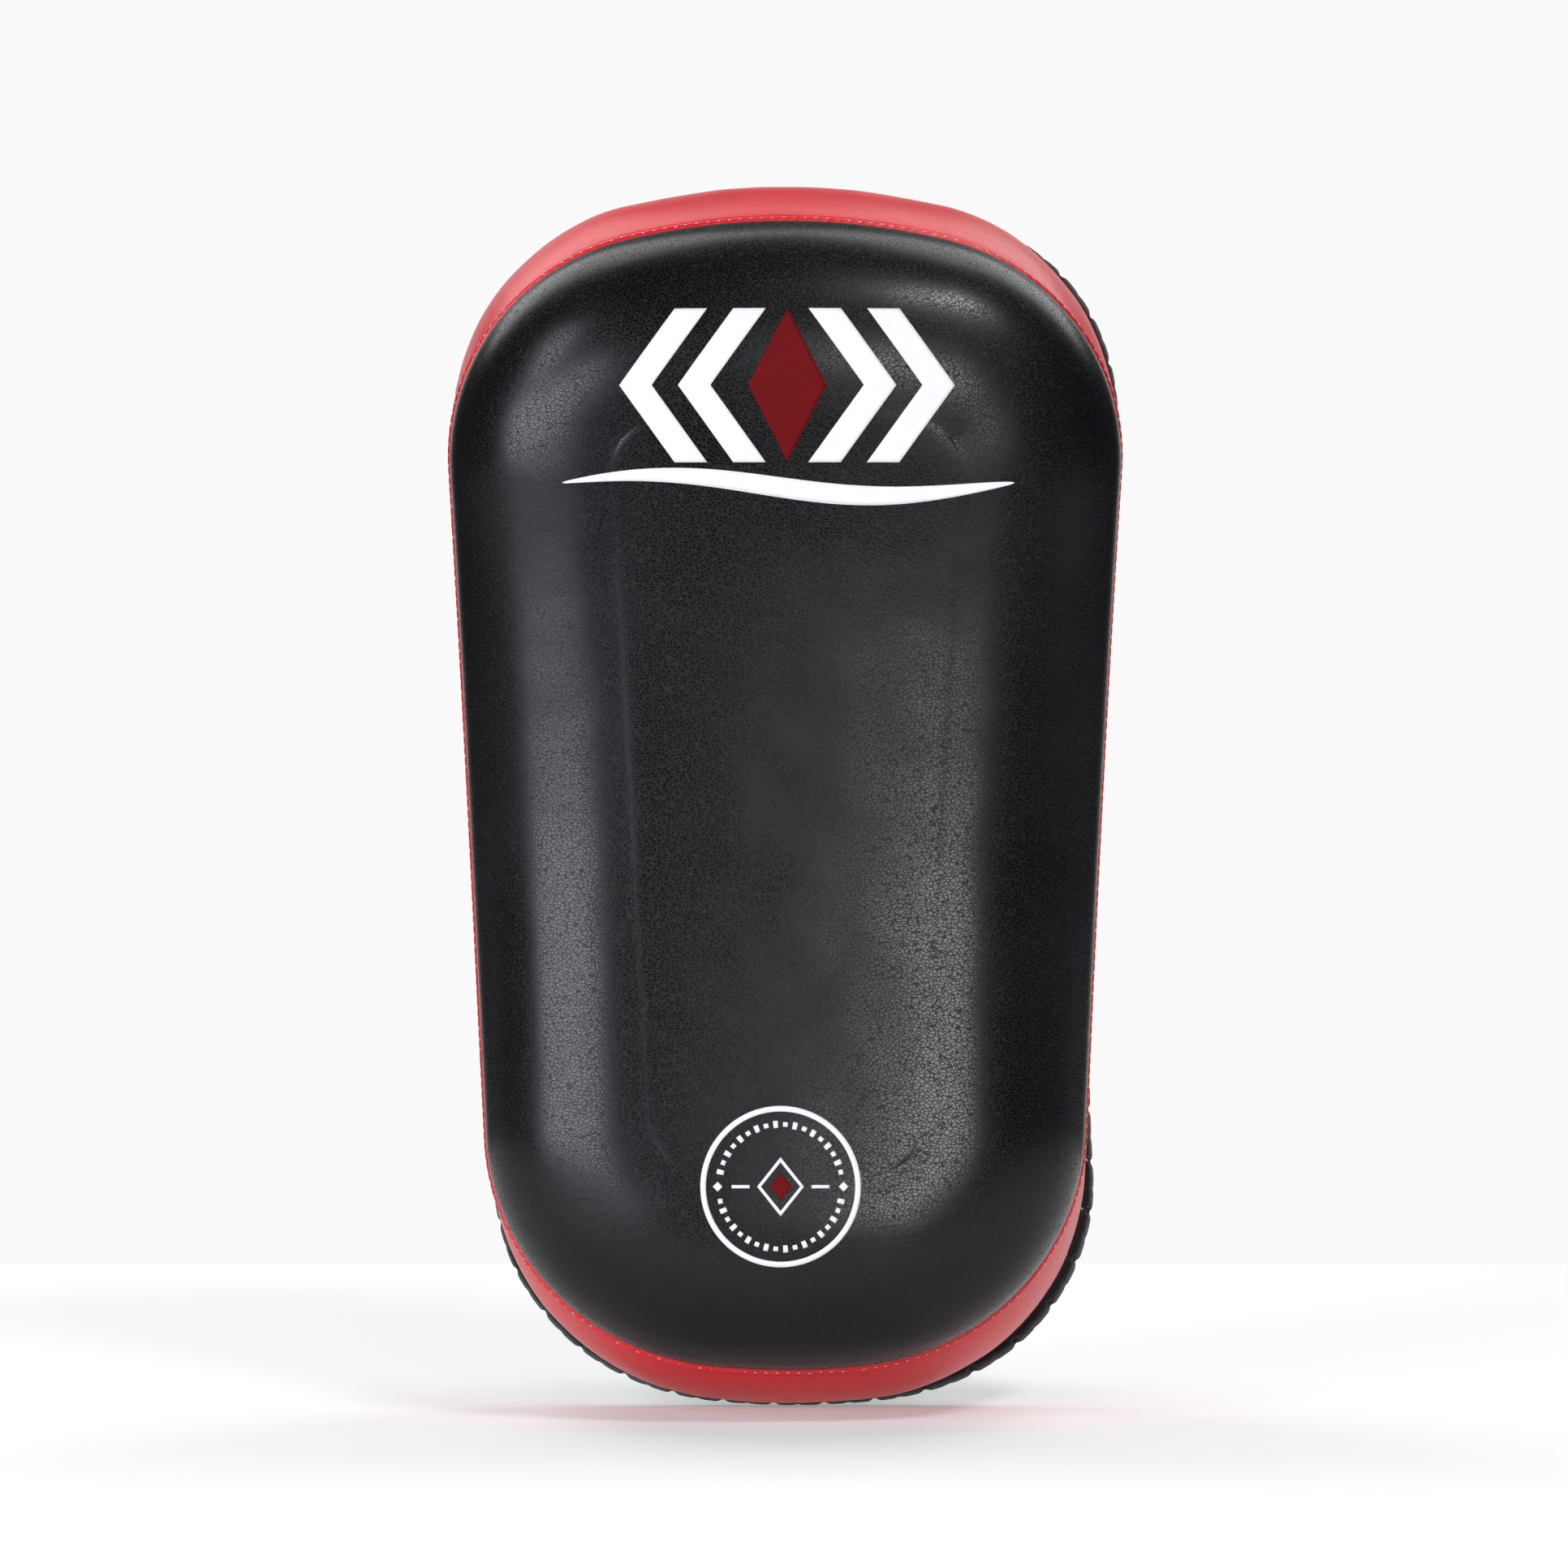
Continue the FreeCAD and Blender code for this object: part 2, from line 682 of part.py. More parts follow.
def write_parts():
    """Check every object, then write each piece to its own file."""
    doc.recompute()
    for item in doc.Objects:
        if "Invalid" in item.State or "Error" in item.State:
            raise RuntimeError(f"{item.Label} failed: {item.State}")
    os.makedirs("parts", exist_ok=True)
    for node, item in nodes.items():
        shape = item.Shape
        if shape.isNull() or not shape.isValid() or not shape.Solids:
            raise RuntimeError(f"{node} has no valid solid")
        shape.exportStep(f"parts/{node}.step")
        print(f"{node}: {len(shape.Solids)} solid(s), {shape.Volume / 1000:.2f} cm3")


padding()
cushion()
forearm_strap("upper", UPPER)
forearm_strap("lower", LOWER)
hand_grip()
rivet_groups()
write_parts()
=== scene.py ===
"""The looks of a thai pad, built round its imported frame.

Lengths are written in millimetres and multiplied by MM. The padding is bent about an axis in
front of the striking face, so "depth" is the distance from its middle surface along the bend's
radius, negative towards the face. "Grow" is an offset outwards from the pad's outline.
"""

import math

import bmesh
import bpy
import numpy as np
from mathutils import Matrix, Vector, noise
from mathutils.bvhtree import BVHTree


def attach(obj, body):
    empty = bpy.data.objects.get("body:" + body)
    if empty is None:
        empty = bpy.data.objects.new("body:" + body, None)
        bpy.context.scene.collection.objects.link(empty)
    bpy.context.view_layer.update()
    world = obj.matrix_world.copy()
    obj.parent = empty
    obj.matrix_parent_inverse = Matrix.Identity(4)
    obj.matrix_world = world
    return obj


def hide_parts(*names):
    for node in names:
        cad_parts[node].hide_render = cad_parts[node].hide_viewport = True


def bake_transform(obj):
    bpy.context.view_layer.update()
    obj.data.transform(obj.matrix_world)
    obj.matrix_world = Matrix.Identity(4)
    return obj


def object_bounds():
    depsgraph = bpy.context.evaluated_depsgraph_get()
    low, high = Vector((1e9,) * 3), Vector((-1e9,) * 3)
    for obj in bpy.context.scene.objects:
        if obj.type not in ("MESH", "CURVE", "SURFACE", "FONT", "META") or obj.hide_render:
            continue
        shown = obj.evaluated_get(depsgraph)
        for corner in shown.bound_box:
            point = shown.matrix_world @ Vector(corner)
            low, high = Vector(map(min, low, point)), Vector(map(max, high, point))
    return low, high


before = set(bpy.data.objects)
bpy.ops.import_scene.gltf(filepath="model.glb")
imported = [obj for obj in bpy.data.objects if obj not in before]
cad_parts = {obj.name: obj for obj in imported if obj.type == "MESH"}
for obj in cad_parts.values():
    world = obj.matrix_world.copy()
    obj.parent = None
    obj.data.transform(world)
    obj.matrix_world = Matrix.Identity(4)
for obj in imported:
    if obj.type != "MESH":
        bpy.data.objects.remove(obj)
cad_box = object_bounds()

MM = 0.001
RNG = np.random.default_rng(11)
TAU = 2 * math.pi

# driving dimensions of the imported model
BEND = 700 * MM
FACE = -45 * MM
SEAM = -8.5 * MM
WELT_BACK = -5.5 * MM
BACK = 45 * MM
END = 193.4 * MM
TOP_HALF, TOP_ARC, TOP_CORNER = 105.6 * MM, 205 * MM, 74 * MM
LOW_HALF, LOW_ARC, LOW_CORNER = 94.4 * MM, 220 * MM, 79 * MM
GRIP_HEIGHT, GRIP_STANDOFF = 112 * MM, 52 * MM
STRAP_HEIGHTS = {"upper": 5 * MM, "lower": -100 * MM}
STRAP_WIDTH, STRAP_THICK = 45 * MM, 3 * MM
ARCH, ARCH_RISE = 48 * MM, 28 * MM
TURN = 3 * MM
BAR_HEIGHT, RING_PITCH = 6.5 * MM, 14 * MM
HINGE_ANGLE, FLAP_END = 10.0, 100.0
ANCHOR_INNER, ANCHOR_END, ANCHOR_HALF = 55 * MM, 81 * MM, 26.5 * MM
TAPE_WIDTH, TAPE_ARC = 41 * MM, (14, 95)
GRIP_PATCH_INNER, GRIP_END, GRIP_PATCH_HALF = 66.1 * MM, 88 * MM, 18 * MM
RULED_FRONT, RULED_BACK = -85 * MM, 60 * MM

# sizes that only the looks need
GRAIN = 1.15 * MM
STITCH_PITCH = 16 * MM
SEAM_PITCH = 3.4 * MM
THREAD_SPACING = 4.0 * MM
THREAD_INSET = 4.0 * MM
TAPE_THICK = 2.5 * MM
# the lower end of the back edge is sewn a little off line
BACK_SKEW, SKEW_START, SKEW_REACH = 3.2 * MM, 50 * MM, 90 * MM


# ------------------------------------------------------------------ places on the pad

def smooth(share):
    """A smooth step from 0 to 1."""
    share = np.clip(share, 0.0, 1.0)
    return share * share * (3 - 2 * share)


def on_back(height, lift=0.0):
    """The point on the back at a height, before the shift to the part's frame, and its lean."""
    reach = BEND + BACK
    lean = math.asin(height / reach)
    reach += lift
    return np.array([0.0, reach * math.cos(lean) - BEND, reach * math.sin(lean)]), lean


ORIGIN = on_back(GRIP_HEIGHT, GRIP_STANDOFF)[0]


class Back:
    """A local frame on the back panel: x across, y out of the panel, z along it."""

    def __init__(self, height):
        self.base, lean = on_back(height)
        self.out = np.array([0.0, math.cos(lean), math.sin(lean)])
        self.along = np.array([0.0, -math.sin(lean), math.cos(lean)])

    def __call__(self, x, y, z=0.0):
        x, y, z = np.broadcast_arrays(*(np.asarray(a, float) for a in (x, y, z)))
        across = np.stack([x, np.zeros_like(x), np.zeros_like(x)], -1)
        return self.base - ORIGIN + across + y[..., None] * self.out + z[..., None] * self.along


def outline_pieces(grow, plane):
    """The outline in a plane of constant y: tangent arcs and two straight tapering sides."""
    slope = END / math.sqrt((BEND + BACK) ** 2 - END ** 2)
    half = (BEND + plane) * slope
    ends = []
    for sign, width, big, small in (
        (1, TOP_HALF, TOP_ARC, TOP_CORNER), (-1, LOW_HALF, LOW_ARC, LOW_CORNER),
    ):
        across = width - small
        rise = math.sqrt((big - small) ** 2 - across ** 2)
        middle = sign * (half - big)
        ends.append(((0.0, middle), big + grow, (across, middle + sign * rise), small + grow))
    (top, top_r, high, high_r), (base, base_r, low, low_r) = ends
    gap = (high[0] - low[0], high[1] - low[1])
    lean = math.atan2(gap[1], gap[0]) - math.acos((low_r - high_r) / math.hypot(*gap))
    top_turn = math.atan2(high[1] - top[1], high[0] - top[0])
    low_turn = math.atan2(low[1] - base[1], low[0] - base[0])
    flip = math.pi - lean

    def mirror(spot):
        return (-spot[0], spot[1])

    def touch(centre, radius, angle):
        return (centre[0] + radius * math.cos(angle), centre[1] + radius * math.sin(angle))

    return [
        ("arc", top, top_r, math.pi - top_turn, top_turn),
        ("arc", high, high_r, top_turn, lean),
        ("line", touch(high, high_r, lean), touch(low, low_r, lean)),
        ("arc", low, low_r, lean, low_turn),
        ("arc", base, base_r, low_turn, -math.pi - low_turn),
        ("arc", mirror(low), low_r, -math.pi - low_turn, flip - TAU),
        ("line", touch(mirror(low), low_r, flip), touch(mirror(high), high_r, flip)),
        ("arc", mirror(high), high_r, flip, math.pi - top_turn),
    ]


def piece_length(piece):
    if piece[0] == "arc":
        return piece[2] * abs(piece[4] - piece[3])
    return math.dist(piece[1], piece[2])


LENGTHS = np.array([piece_length(p) for p in outline_pieces(0.0, 0.0)])
AROUND = LENGTHS.sum()
BREAKS = np.concatenate([[0.0], np.cumsum(LENGTHS) / AROUND])
# the middles of the four corner arcs, clockwise from the upper left
CORNERS = [(BREAKS[i] + BREAKS[i + 1]) / 2 for i in (7, 1, 3, 5)]
CORNERS[0] -= 1.0
BINDING_STITCHES = round(AROUND / STITCH_PITCH)
SEAM_STITCHES = round(AROUND / SEAM_PITCH)


def outline(u, grow, plane):
    """x and z of the outline at a share u of the way round."""
    u = np.mod(u, 1.0)
    x, z = np.zeros_like(u), np.zeros_like(u)
    for number, piece in enumerate(outline_pieces(grow, plane)):
        here = (u >= BREAKS[number]) & (u <= BREAKS[number + 1])
        share = (u[here] - BREAKS[number]) / (BREAKS[number + 1] - BREAKS[number])
        if piece[0] == "arc":
            angle = piece[3] + (piece[4] - piece[3]) * share
            x[here] = piece[1][0] + piece[2] * np.cos(angle)
            z[here] = piece[1][1] + piece[2] * np.sin(angle)
        else:
            x[here] = piece[1][0] + (piece[2][0] - piece[1][0]) * share
            z[here] = piece[1][1] + (piece[2][1] - piece[1][1]) * share
    return x, z


def even_shares(count):
    """Evenly spaced shares of the way round."""
    return np.linspace(0, 1, count, endpoint=False)


def heading(u):
    """The outline's direction at a share of the way round, as x and z: rightwards at the top."""
    step = 1e-4
    before, after = outline(u - step, 0.0, 0.0), outline(u + step, 0.0, 0.0)
    x, z = after[0] - before[0], after[1] - before[1]
    size = np.hypot(x, z)
    return x / size, z / size


def wall(u, grow, depth):
    """Points of the pad's side at a depth: grow and depth may each be one number or an array."""
    u = np.asarray(u, float)
    grow = np.broadcast_to(np.asarray(grow, float), u.shape)
    depth = np.broadcast_to(np.asarray(depth, float), u.shape)
    x0, z0 = outline(u, 0.0, RULED_FRONT)
    x1, z1 = outline(u, 0.0, RULED_BACK)
    right, up = heading(u)
    y0, dy = RULED_FRONT + BEND, RULED_BACK - RULED_FRONT
    dz = z1 - z0
    a = dy ** 2 + dz ** 2
    b = 2 * (y0 * dy + z0 * dz)
    c = y0 ** 2 + z0 ** 2 - (BEND + depth) ** 2
    t = (-b + np.sqrt(b * b - 4 * a * c)) / (2 * a)
    x = x0 + (x1 - x0) * t - up * grow
    z = z0 + dz * t + right * grow
    share = np.clip((depth - SEAM) / (BACK - SEAM), 0.0, 1.0)
    x = x + BACK_SKEW * share * smooth((-z - SKEW_START) / SKEW_REACH)
    y = np.sqrt((BEND + depth) ** 2 - z ** 2) - BEND
    return np.stack([x, y, z], -1) - ORIGIN


def bent(x, turn, depth):
    """A point from its x, its angle round the bend's axis and its depth."""
    x, turn, depth = np.broadcast_arrays(*(np.asarray(a, float) for a in (x, turn, depth)))
    reach = BEND + depth
    return np.stack([x, reach * np.cos(turn) - BEND, reach * np.sin(turn)], -1) - ORIGIN


def turn_of(points):
    """The angle round the bend's axis of points in the part's frame."""
    spots = points + ORIGIN
    return np.arctan2(spots[..., 2], spots[..., 1] + BEND)


def ripple(points, scale, seed):
    """Smooth noise at each point, for wrinkles; scale is the size of one wrinkle."""
    flat = points.reshape(-1, 3)
    shift = Vector((seed * 3.1, seed * 1.7, seed * 0.9))
    values = [noise.noise(Vector(p) / scale + shift) for p in flat]
    return np.array(values).reshape(points.shape[:-1])


# ------------------------------------------------------------------ meshes

def make(name, verts, faces, material, uv=None):
    """A mesh object; uv gives a pair per face corner."""
    mesh = bpy.data.meshes.new(name)
    corners = [tuple(v) for v in np.asarray(verts).reshape(-1, 3)]
    mesh.from_pydata(corners, [], [tuple(f) for f in faces])
    mesh.validate(clean_customdata=False)
    if uv is not None:
        layer = mesh.uv_layers.new(name="flow")
        layer.data.foreach_set("uv", np.asarray(uv, np.float32).ravel())
    shape = bmesh.new()
    shape.from_mesh(mesh)
    bmesh.ops.recalc_face_normals(shape, faces=shape.faces)
    shape.to_mesh(mesh)
    shape.free()
    mesh.polygons.foreach_set("use_smooth", [True] * len(mesh.polygons))
    mesh.update()
    item = bpy.data.objects.new(name, mesh)
    bpy.context.scene.collection.objects.link(item)
    mesh.materials.append(material)
    return item


def grid(rows, cols, wrap_rows=False, wrap_cols=False):
    """Quads over a grid of points, row by row, and the (row, col) of every corner, unwrapped."""
    faces, corners = [], []
    for r in range(rows if wrap_rows else rows - 1):
        for c in range(cols if wrap_cols else cols - 1):
            spots = ((r, c), (r, c + 1), (r + 1, c + 1), (r + 1, c))
            faces.append([(a % rows) * cols + b % cols for a, b in spots])
            corners.append(spots)
    return faces, np.array(corners, float)


def loft(name, points, material, flow, closed=False):
    """A run of closed cross-sections, joined end to end or capped: sections by corners by 3."""
    sections, around = points.shape[:2]
    faces, corners = grid(sections, around, closed, True)
    uv = np.stack([corners[..., 0] * flow[0] / sections, corners[..., 1] * flow[1] / around], -1)
    faces = [f[::-1] for f in faces]
    uv = [list(quad) for quad in uv[:, ::-1]]
    if not closed:
        first = list(range(around))
        last = [(sections - 1) * around + k for k in first]
        faces += [first, last[::-1]]
        uv += [[(end, k / around) for k in first] for end in (0.0, flow[0])]
    return make(name, points, faces, material, [pair for quad in uv for pair in quad])


def slab(rows, cols, wrap=False):
    """The faces of a slab: an upper grid of points, a lower one, and the rims between them."""
    faces, _ = grid(rows, cols, False, wrap)
    size = rows * cols
    faces += [[i + size for i in f[::-1]] for f in faces]
    top, bottom = [(0, c) for c in range(cols)], [(rows - 1, c) for c in range(cols)]
    right, left = [(r, cols - 1) for r in range(1, rows - 1)], [(r, 0) for r in range(1, rows - 1)]
    for rim in ((top, bottom) if wrap else (top + right + bottom[::-1] + left[::-1],)):
        walk = [r * cols + c for r, c in rim]
        faces += [[a, a + size, b + size, b] for a, b in zip(walk, walk[1:] + walk[:1])]
    return faces


def subdivide(item, levels=1):
    """Apply Catmull-Clark subdivision."""
    tool = item.modifiers.new("subdivide", "SUBSURF")
    tool.levels = tool.render_levels = levels
    graph = bpy.context.evaluated_depsgraph_get()
    fresh = bpy.data.meshes.new_from_object(item.evaluated_get(graph))
    item.modifiers.clear()
    item.data = fresh


def coordinates(mesh):
    flat = np.zeros(len(mesh.vertices) * 3)
    mesh.vertices.foreach_get("co", flat)
    return flat.reshape(-1, 3)


def set_coordinates(item, points):
    item.data.vertices.foreach_set("co", np.asarray(points, float).ravel())
    item.data.update()


def inflate(item, free, cap, pressure, stiffness=15.0, evening=3):
    """Swell a closed mesh as cloth: free is how loose each vertex is, cap how far one may move."""
    frames = 20
    start = coordinates(item.data)
    pins = item.vertex_groups.new(name="pins")
    for index, loose in enumerate(free):
        pins.add([index], float(1.0 - loose), "REPLACE")
    cloth = item.modifiers.new("cloth", "CLOTH")
    settings = cloth.settings
    settings.use_pressure = True
    settings.uniform_pressure_force = pressure
    settings.effector_weights.gravity = 0.0
    settings.tension_stiffness = settings.compression_stiffness = stiffness
    settings.shear_stiffness = stiffness
    settings.bending_stiffness = 0.5
    settings.vertex_group_mass = "pins"
    settings.mass = 0.3
    cloth.collision_settings.use_collision = False
    cloth.point_cache.frame_start = 1
    cloth.point_cache.frame_end = frames
    scene = bpy.context.scene
    for number in range(1, frames + 1):
        scene.frame_set(number)
    graph = bpy.context.evaluated_depsgraph_get()
    shift = coordinates(item.evaluated_get(graph).to_mesh()) - start
    item.modifiers.clear()
    scene.frame_set(1)
    if not np.isfinite(shift).all():
        return
    edges = np.array([e.vertices for e in item.data.edges])
    ends = np.concatenate([edges, edges[:, ::-1]])
    degree = np.bincount(ends[:, 0], minlength=len(shift))[:, None]
    held = np.asarray(free)[:, None] == 0
    for _ in range(evening):
        around = np.zeros_like(shift)
        np.add.at(around, ends[:, 0], shift[ends[:, 1]])
        shift = np.where(held, shift, (shift + around / degree) / 2)
    far = np.linalg.norm(shift, axis=1, keepdims=True)
    shift *= cap * np.tanh(far / cap) / np.maximum(far, 1e-9)
    set_coordinates(item, start + shift)


def stitches(name, places, material, length=2.6 * MM, radius=0.42 * MM):
    """Short rounded thread ends: places holds (middle, direction, normal) for each."""
    verts, faces = [], []
    rising = ((-1.0, 0.0), (-0.86, 0.6), (-0.45, 0.95))
    rows = (*rising, (0.0, 1.0), *((-reach, wide) for reach, wide in rising[::-1]))
    around = 7
    shell, _ = grid(len(rows), around, False, True)
    first = list(range(around))
    shell += [first[::-1], [(len(rows) - 1) * around + k for k in first]]
    for middle, along, normal in places:
        along = along / np.linalg.norm(along)
        side = np.cross(along, normal)
        side /= np.linalg.norm(side)
        up = np.cross(side, along)
        base = len(verts)
        for reach, wide in rows:
            lift = up * radius * 0.7 * (1 - reach * reach)
            for k in range(around):
                a = TAU * k / around
                spot = side * math.cos(a) + up * math.sin(a)
                verts.append(middle + along * reach * length / 2 + spot * radius * max(wide, 0.08) + lift)
        faces += [[base + k for k in face] for face in shell]
    return make(name, verts, faces, material)


# ------------------------------------------------------------------ materials

def settle(item, body, slot, *replaced):
    """The piece rides on a body and stands for its CAD nodes; the slot is not used.

    In place of a body it may be given a flap with the start and end of a stretch; these are not used, and the
    piece is left where it stands.
    """
    if isinstance(body, str):
        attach(item, body)
    else:
        flap, start, end = body
        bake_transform(item)
        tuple(start)
        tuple(end)
    if replaced:
        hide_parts(*replaced)


class Tree:
    """A short way to build a node tree."""

    def __init__(self, tree):
        self.tree = tree

    def add(self, kind, links=None, inputs=None, **settings):
        node = self.tree.nodes.new(kind)
        for key, value in settings.items():
            setattr(node, key, value)
        for key, value in (inputs or {}).items():
            node.inputs[key].default_value = value
        for key, source in (links or {}).items():
            self.tree.links.new(source, node.inputs[key])
        return node

    def spread(self, source, low, high, to_low=0.0, to_high=1.0):
        inputs = {"From Min": low, "From Max": high, "To Min": to_low, "To Max": to_high}
        return self.add("ShaderNodeMapRange", {"Value": source}, inputs).outputs["Result"]

    def math(self, kind, first, second):
        node = self.add("ShaderNodeMath", operation=kind)
        for socket, value in zip(node.inputs, (first, second)):
            if isinstance(value, (int, float)):
                socket.default_value = value
            else:
                self.tree.links.new(value, socket)
        return node.outputs["Value"]


class Nodes(Tree):
    """A material's node tree; values are the shader's own sockets."""

    def __init__(self, name, **values):
        self.material = bpy.data.materials.new(name)
        self.material.use_nodes = True
        super().__init__(self.material.node_tree)
        self.shader = self.tree.nodes["Principled BSDF"]
        for socket, value in values.items():
            self.shader.inputs[socket.replace("_", " ")].default_value = value
        self.place = self.add("ShaderNodeTexCoord").outputs["Object"]

    def noise(self, scale, detail, rough, place=None):
        inputs = {"Scale": scale, "Detail": detail, "Roughness": rough}
        return self.add("ShaderNodeTexNoise", {"Vector": place or self.place}, inputs).outputs["Fac"]

    def cells(self, scale, feature="F1", place=None):
        links = {"Vector": place or self.place}
        return self.add("ShaderNodeTexVoronoi", links, {"Scale": scale}, feature=feature).outputs["Distance"]

    def mix(self, share, first, second):
        node = self.add("ShaderNodeMix", {"Factor": share}, data_type="RGBA")
        node.inputs["A"].default_value = (*first, 1.0)
        node.inputs["B"].default_value = (*second, 1.0)
        return node.outputs["Result"]

    def stretched(self, scale):
        return self.add("ShaderNodeMapping", {"Vector": self.place}, {"Scale": scale}).outputs["Vector"]

    def flow(self):
        return self.add("ShaderNodeUVMap", uv_map="flow").outputs["UV"]

    def bump(self, height, distance, below=None):
        links = {"Height": height}
        if below is not None:
            links["Normal"] = below
        inputs = {"Distance": distance, "Strength": 1.0}
        return self.add("ShaderNodeBump", links, inputs).outputs["Normal"]

    def finish(self, color=None, roughness=None, normal=None):
        for socket, source in (("Base Color", color), ("Roughness", roughness), ("Normal", normal)):
            if source is not None:
                self.tree.links.new(source, self.shader.inputs[socket])
        return self.material


def leather(name, dark, light, rough, grain=GRAIN, depth=0.010 * MM, crease=0.012 * MM, **extra):
    """Coated leather: pebbles between fine creases, shallow folds, uneven colour with painted shade in the
    creases, and shine.
    """
    n = Nodes(name, **extra)
    drift = n.add("ShaderNodeTexNoise", {"Vector": n.place}, {"Scale": 1 / (1.8 * grain), "Detail": 1.0})
    warp = n.add("ShaderNodeVectorMath", {0: drift.outputs["Color"]}, {1: (1.1 * grain,) * 3},
                 operation="MULTIPLY")
    place = n.add("ShaderNodeVectorMath", {0: n.stretched((0.85, 1.0, 1.15)), 1: warp.outputs["Vector"]},
                  operation="ADD").outputs["Vector"]
    pebbles = n.spread(n.cells(1 / grain, "DISTANCE_TO_EDGE", place), 0.0, 0.12)
    small = n.spread(n.cells(2.3 / grain, "DISTANCE_TO_EDGE", place), 0.0, 0.12)
    folds = n.noise(1 / (9 * MM), 5.0, 0.62, n.stretched((0.6, 0.6, 1.8)))
    cloudy = n.noise(1 / (60 * MM), 3.0, 0.55)
    height = n.math("ADD", pebbles, n.math("MULTIPLY", small, 0.25))
    # colour: random uneven tone times painted shade that darkens the creases
    tone_and_crease_shade = n.math("MULTIPLY", n.spread(cloudy, 0.3, 0.7), n.spread(height, 0.1, 0.9, 0.4, 1.0))
    color = n.mix(tone_and_crease_shade, dark, light)
    shine = n.math("ADD", n.spread(cloudy, 0.3, 0.7, rough - 0.03, rough + 0.03),
                   n.spread(height, 0.2, 1.1, 0.30, -0.02))
    return n.finish(color, shine, n.bump(height, depth, n.bump(folds, crease * 2)))


def woven(name, dark, light):
    """Woven tape: ribs across and along, from the piece's own flow."""
    pitch = 0.9 * MM
    n = Nodes(name, Specular_IOR_Level=0.25, Sheen_Weight=0.25, Sheen_Roughness=0.5)
    flow = n.flow()
    ribs = []
    for direction, share in (("X", 1.0), ("Y", 0.8)):
        wave = n.add("ShaderNodeTexWave", {"Vector": flow},
                     {"Scale": share / pitch / TAU * 2, "Distortion": 0.4, "Detail": 1.0},
                     wave_type="BANDS", bands_direction=direction)
        ribs.append(wave.outputs["Fac"])
    weave = n.math("MULTIPLY", *ribs)
    fuzz = n.noise(1 / (0.25 * MM), 2.0, 0.7)
    color = n.mix(n.spread(n.math("ADD", weave, n.math("MULTIPLY", fuzz, 0.6)), 0.2, 1.3), dark, light)
    normal = n.bump(weave, 0.22 * MM, n.bump(fuzz, 0.08 * MM))
    return n.finish(color, n.spread(fuzz, 0.3, 0.7, 0.8, 0.9), normal)


def cellular(name, dark, light, size, reach, rough, depth, shine):
    """Twisted thread and foam: small cells, paler and rougher towards their edges."""
    n = Nodes(name, Specular_IOR_Level=shine)
    cells = n.cells(1 / size)
    return n.finish(n.mix(n.spread(cells, 0.1, reach), dark, light), n.spread(cells, 0.0, 1.0, *rough),
                    n.bump(cells, depth))


def thread_material(name, dark, light):
    return cellular(name, dark, light, 0.35 * MM, 0.9, (0.45, 0.6), 0.08 * MM, 0.4)


def foam_material(name, dark, light):
    return cellular(name, dark, light, 1.2 * MM, 0.8, (0.85, 0.95), 0.4 * MM, 0.1)


def print_material(name, color, faded):
    """Screen print: thin flat ink that takes the grain of the leather under it."""
    n = Nodes(name, Specular_IOR_Level=0.12)
    pebbles = n.spread(n.cells(1 / GRAIN, "DISTANCE_TO_EDGE"), 0.0, 0.32)
    worn = n.noise(1 / (6 * MM), 4.0, 0.6)
    return n.finish(n.mix(n.spread(worn, 0.45, 0.8), color, faded), n.spread(worn, 0.3, 0.7, 0.50, 0.58),
                    n.bump(pebbles, 0.05 * MM))


def steel_material(name):
    n = Nodes(name, Metallic=1.0)
    scratches = n.noise(1 / (0.8 * MM), 4.0, 0.65, n.stretched((1.0, 1.0, 0.12)))
    spots = n.noise(1 / (7 * MM), 3.0, 0.6)
    return n.finish(n.mix(spots, (0.62, 0.63, 0.65), (0.8, 0.81, 0.83)),
                    n.spread(scratches, 0.3, 0.75, 0.12, 0.3), n.bump(scratches, 0.015 * MM))


def fleece_material(name):
    n = Nodes(name, Specular_IOR_Level=0.15, Sheen_Weight=0.5, Sheen_Roughness=0.4)
    loops = n.cells(1 / (0.55 * MM))
    tufts = n.noise(1 / (0.9 * MM), 4.0, 0.7)
    return n.finish(n.mix(n.spread(tufts, 0.3, 0.75), (0.006, 0.006, 0.007), (0.03, 0.03, 0.033)),
                    n.spread(tufts, 0.3, 0.7, 0.86, 0.96), n.bump(n.math("ADD", loops, tufts), 0.5 * MM))


def hook_material(name):
    n = Nodes(name, Specular_IOR_Level=0.35)
    flow = n.flow()
    hooks = n.add("ShaderNodeTexVoronoi", {"Vector": flow}, {"Scale": 1 / (1.6 * MM), "Randomness": 0.15},
                  feature="F1").outputs["Distance"]
    return n.finish(n.mix(n.spread(hooks, 0.1, 0.5), (0.05, 0.05, 0.055), (0.008, 0.008, 0.009)),
                    n.spread(hooks, 0.0, 0.6, 0.4, 0.6), n.bump(n.spread(hooks, 0.5, 0.0), 0.6 * MM))


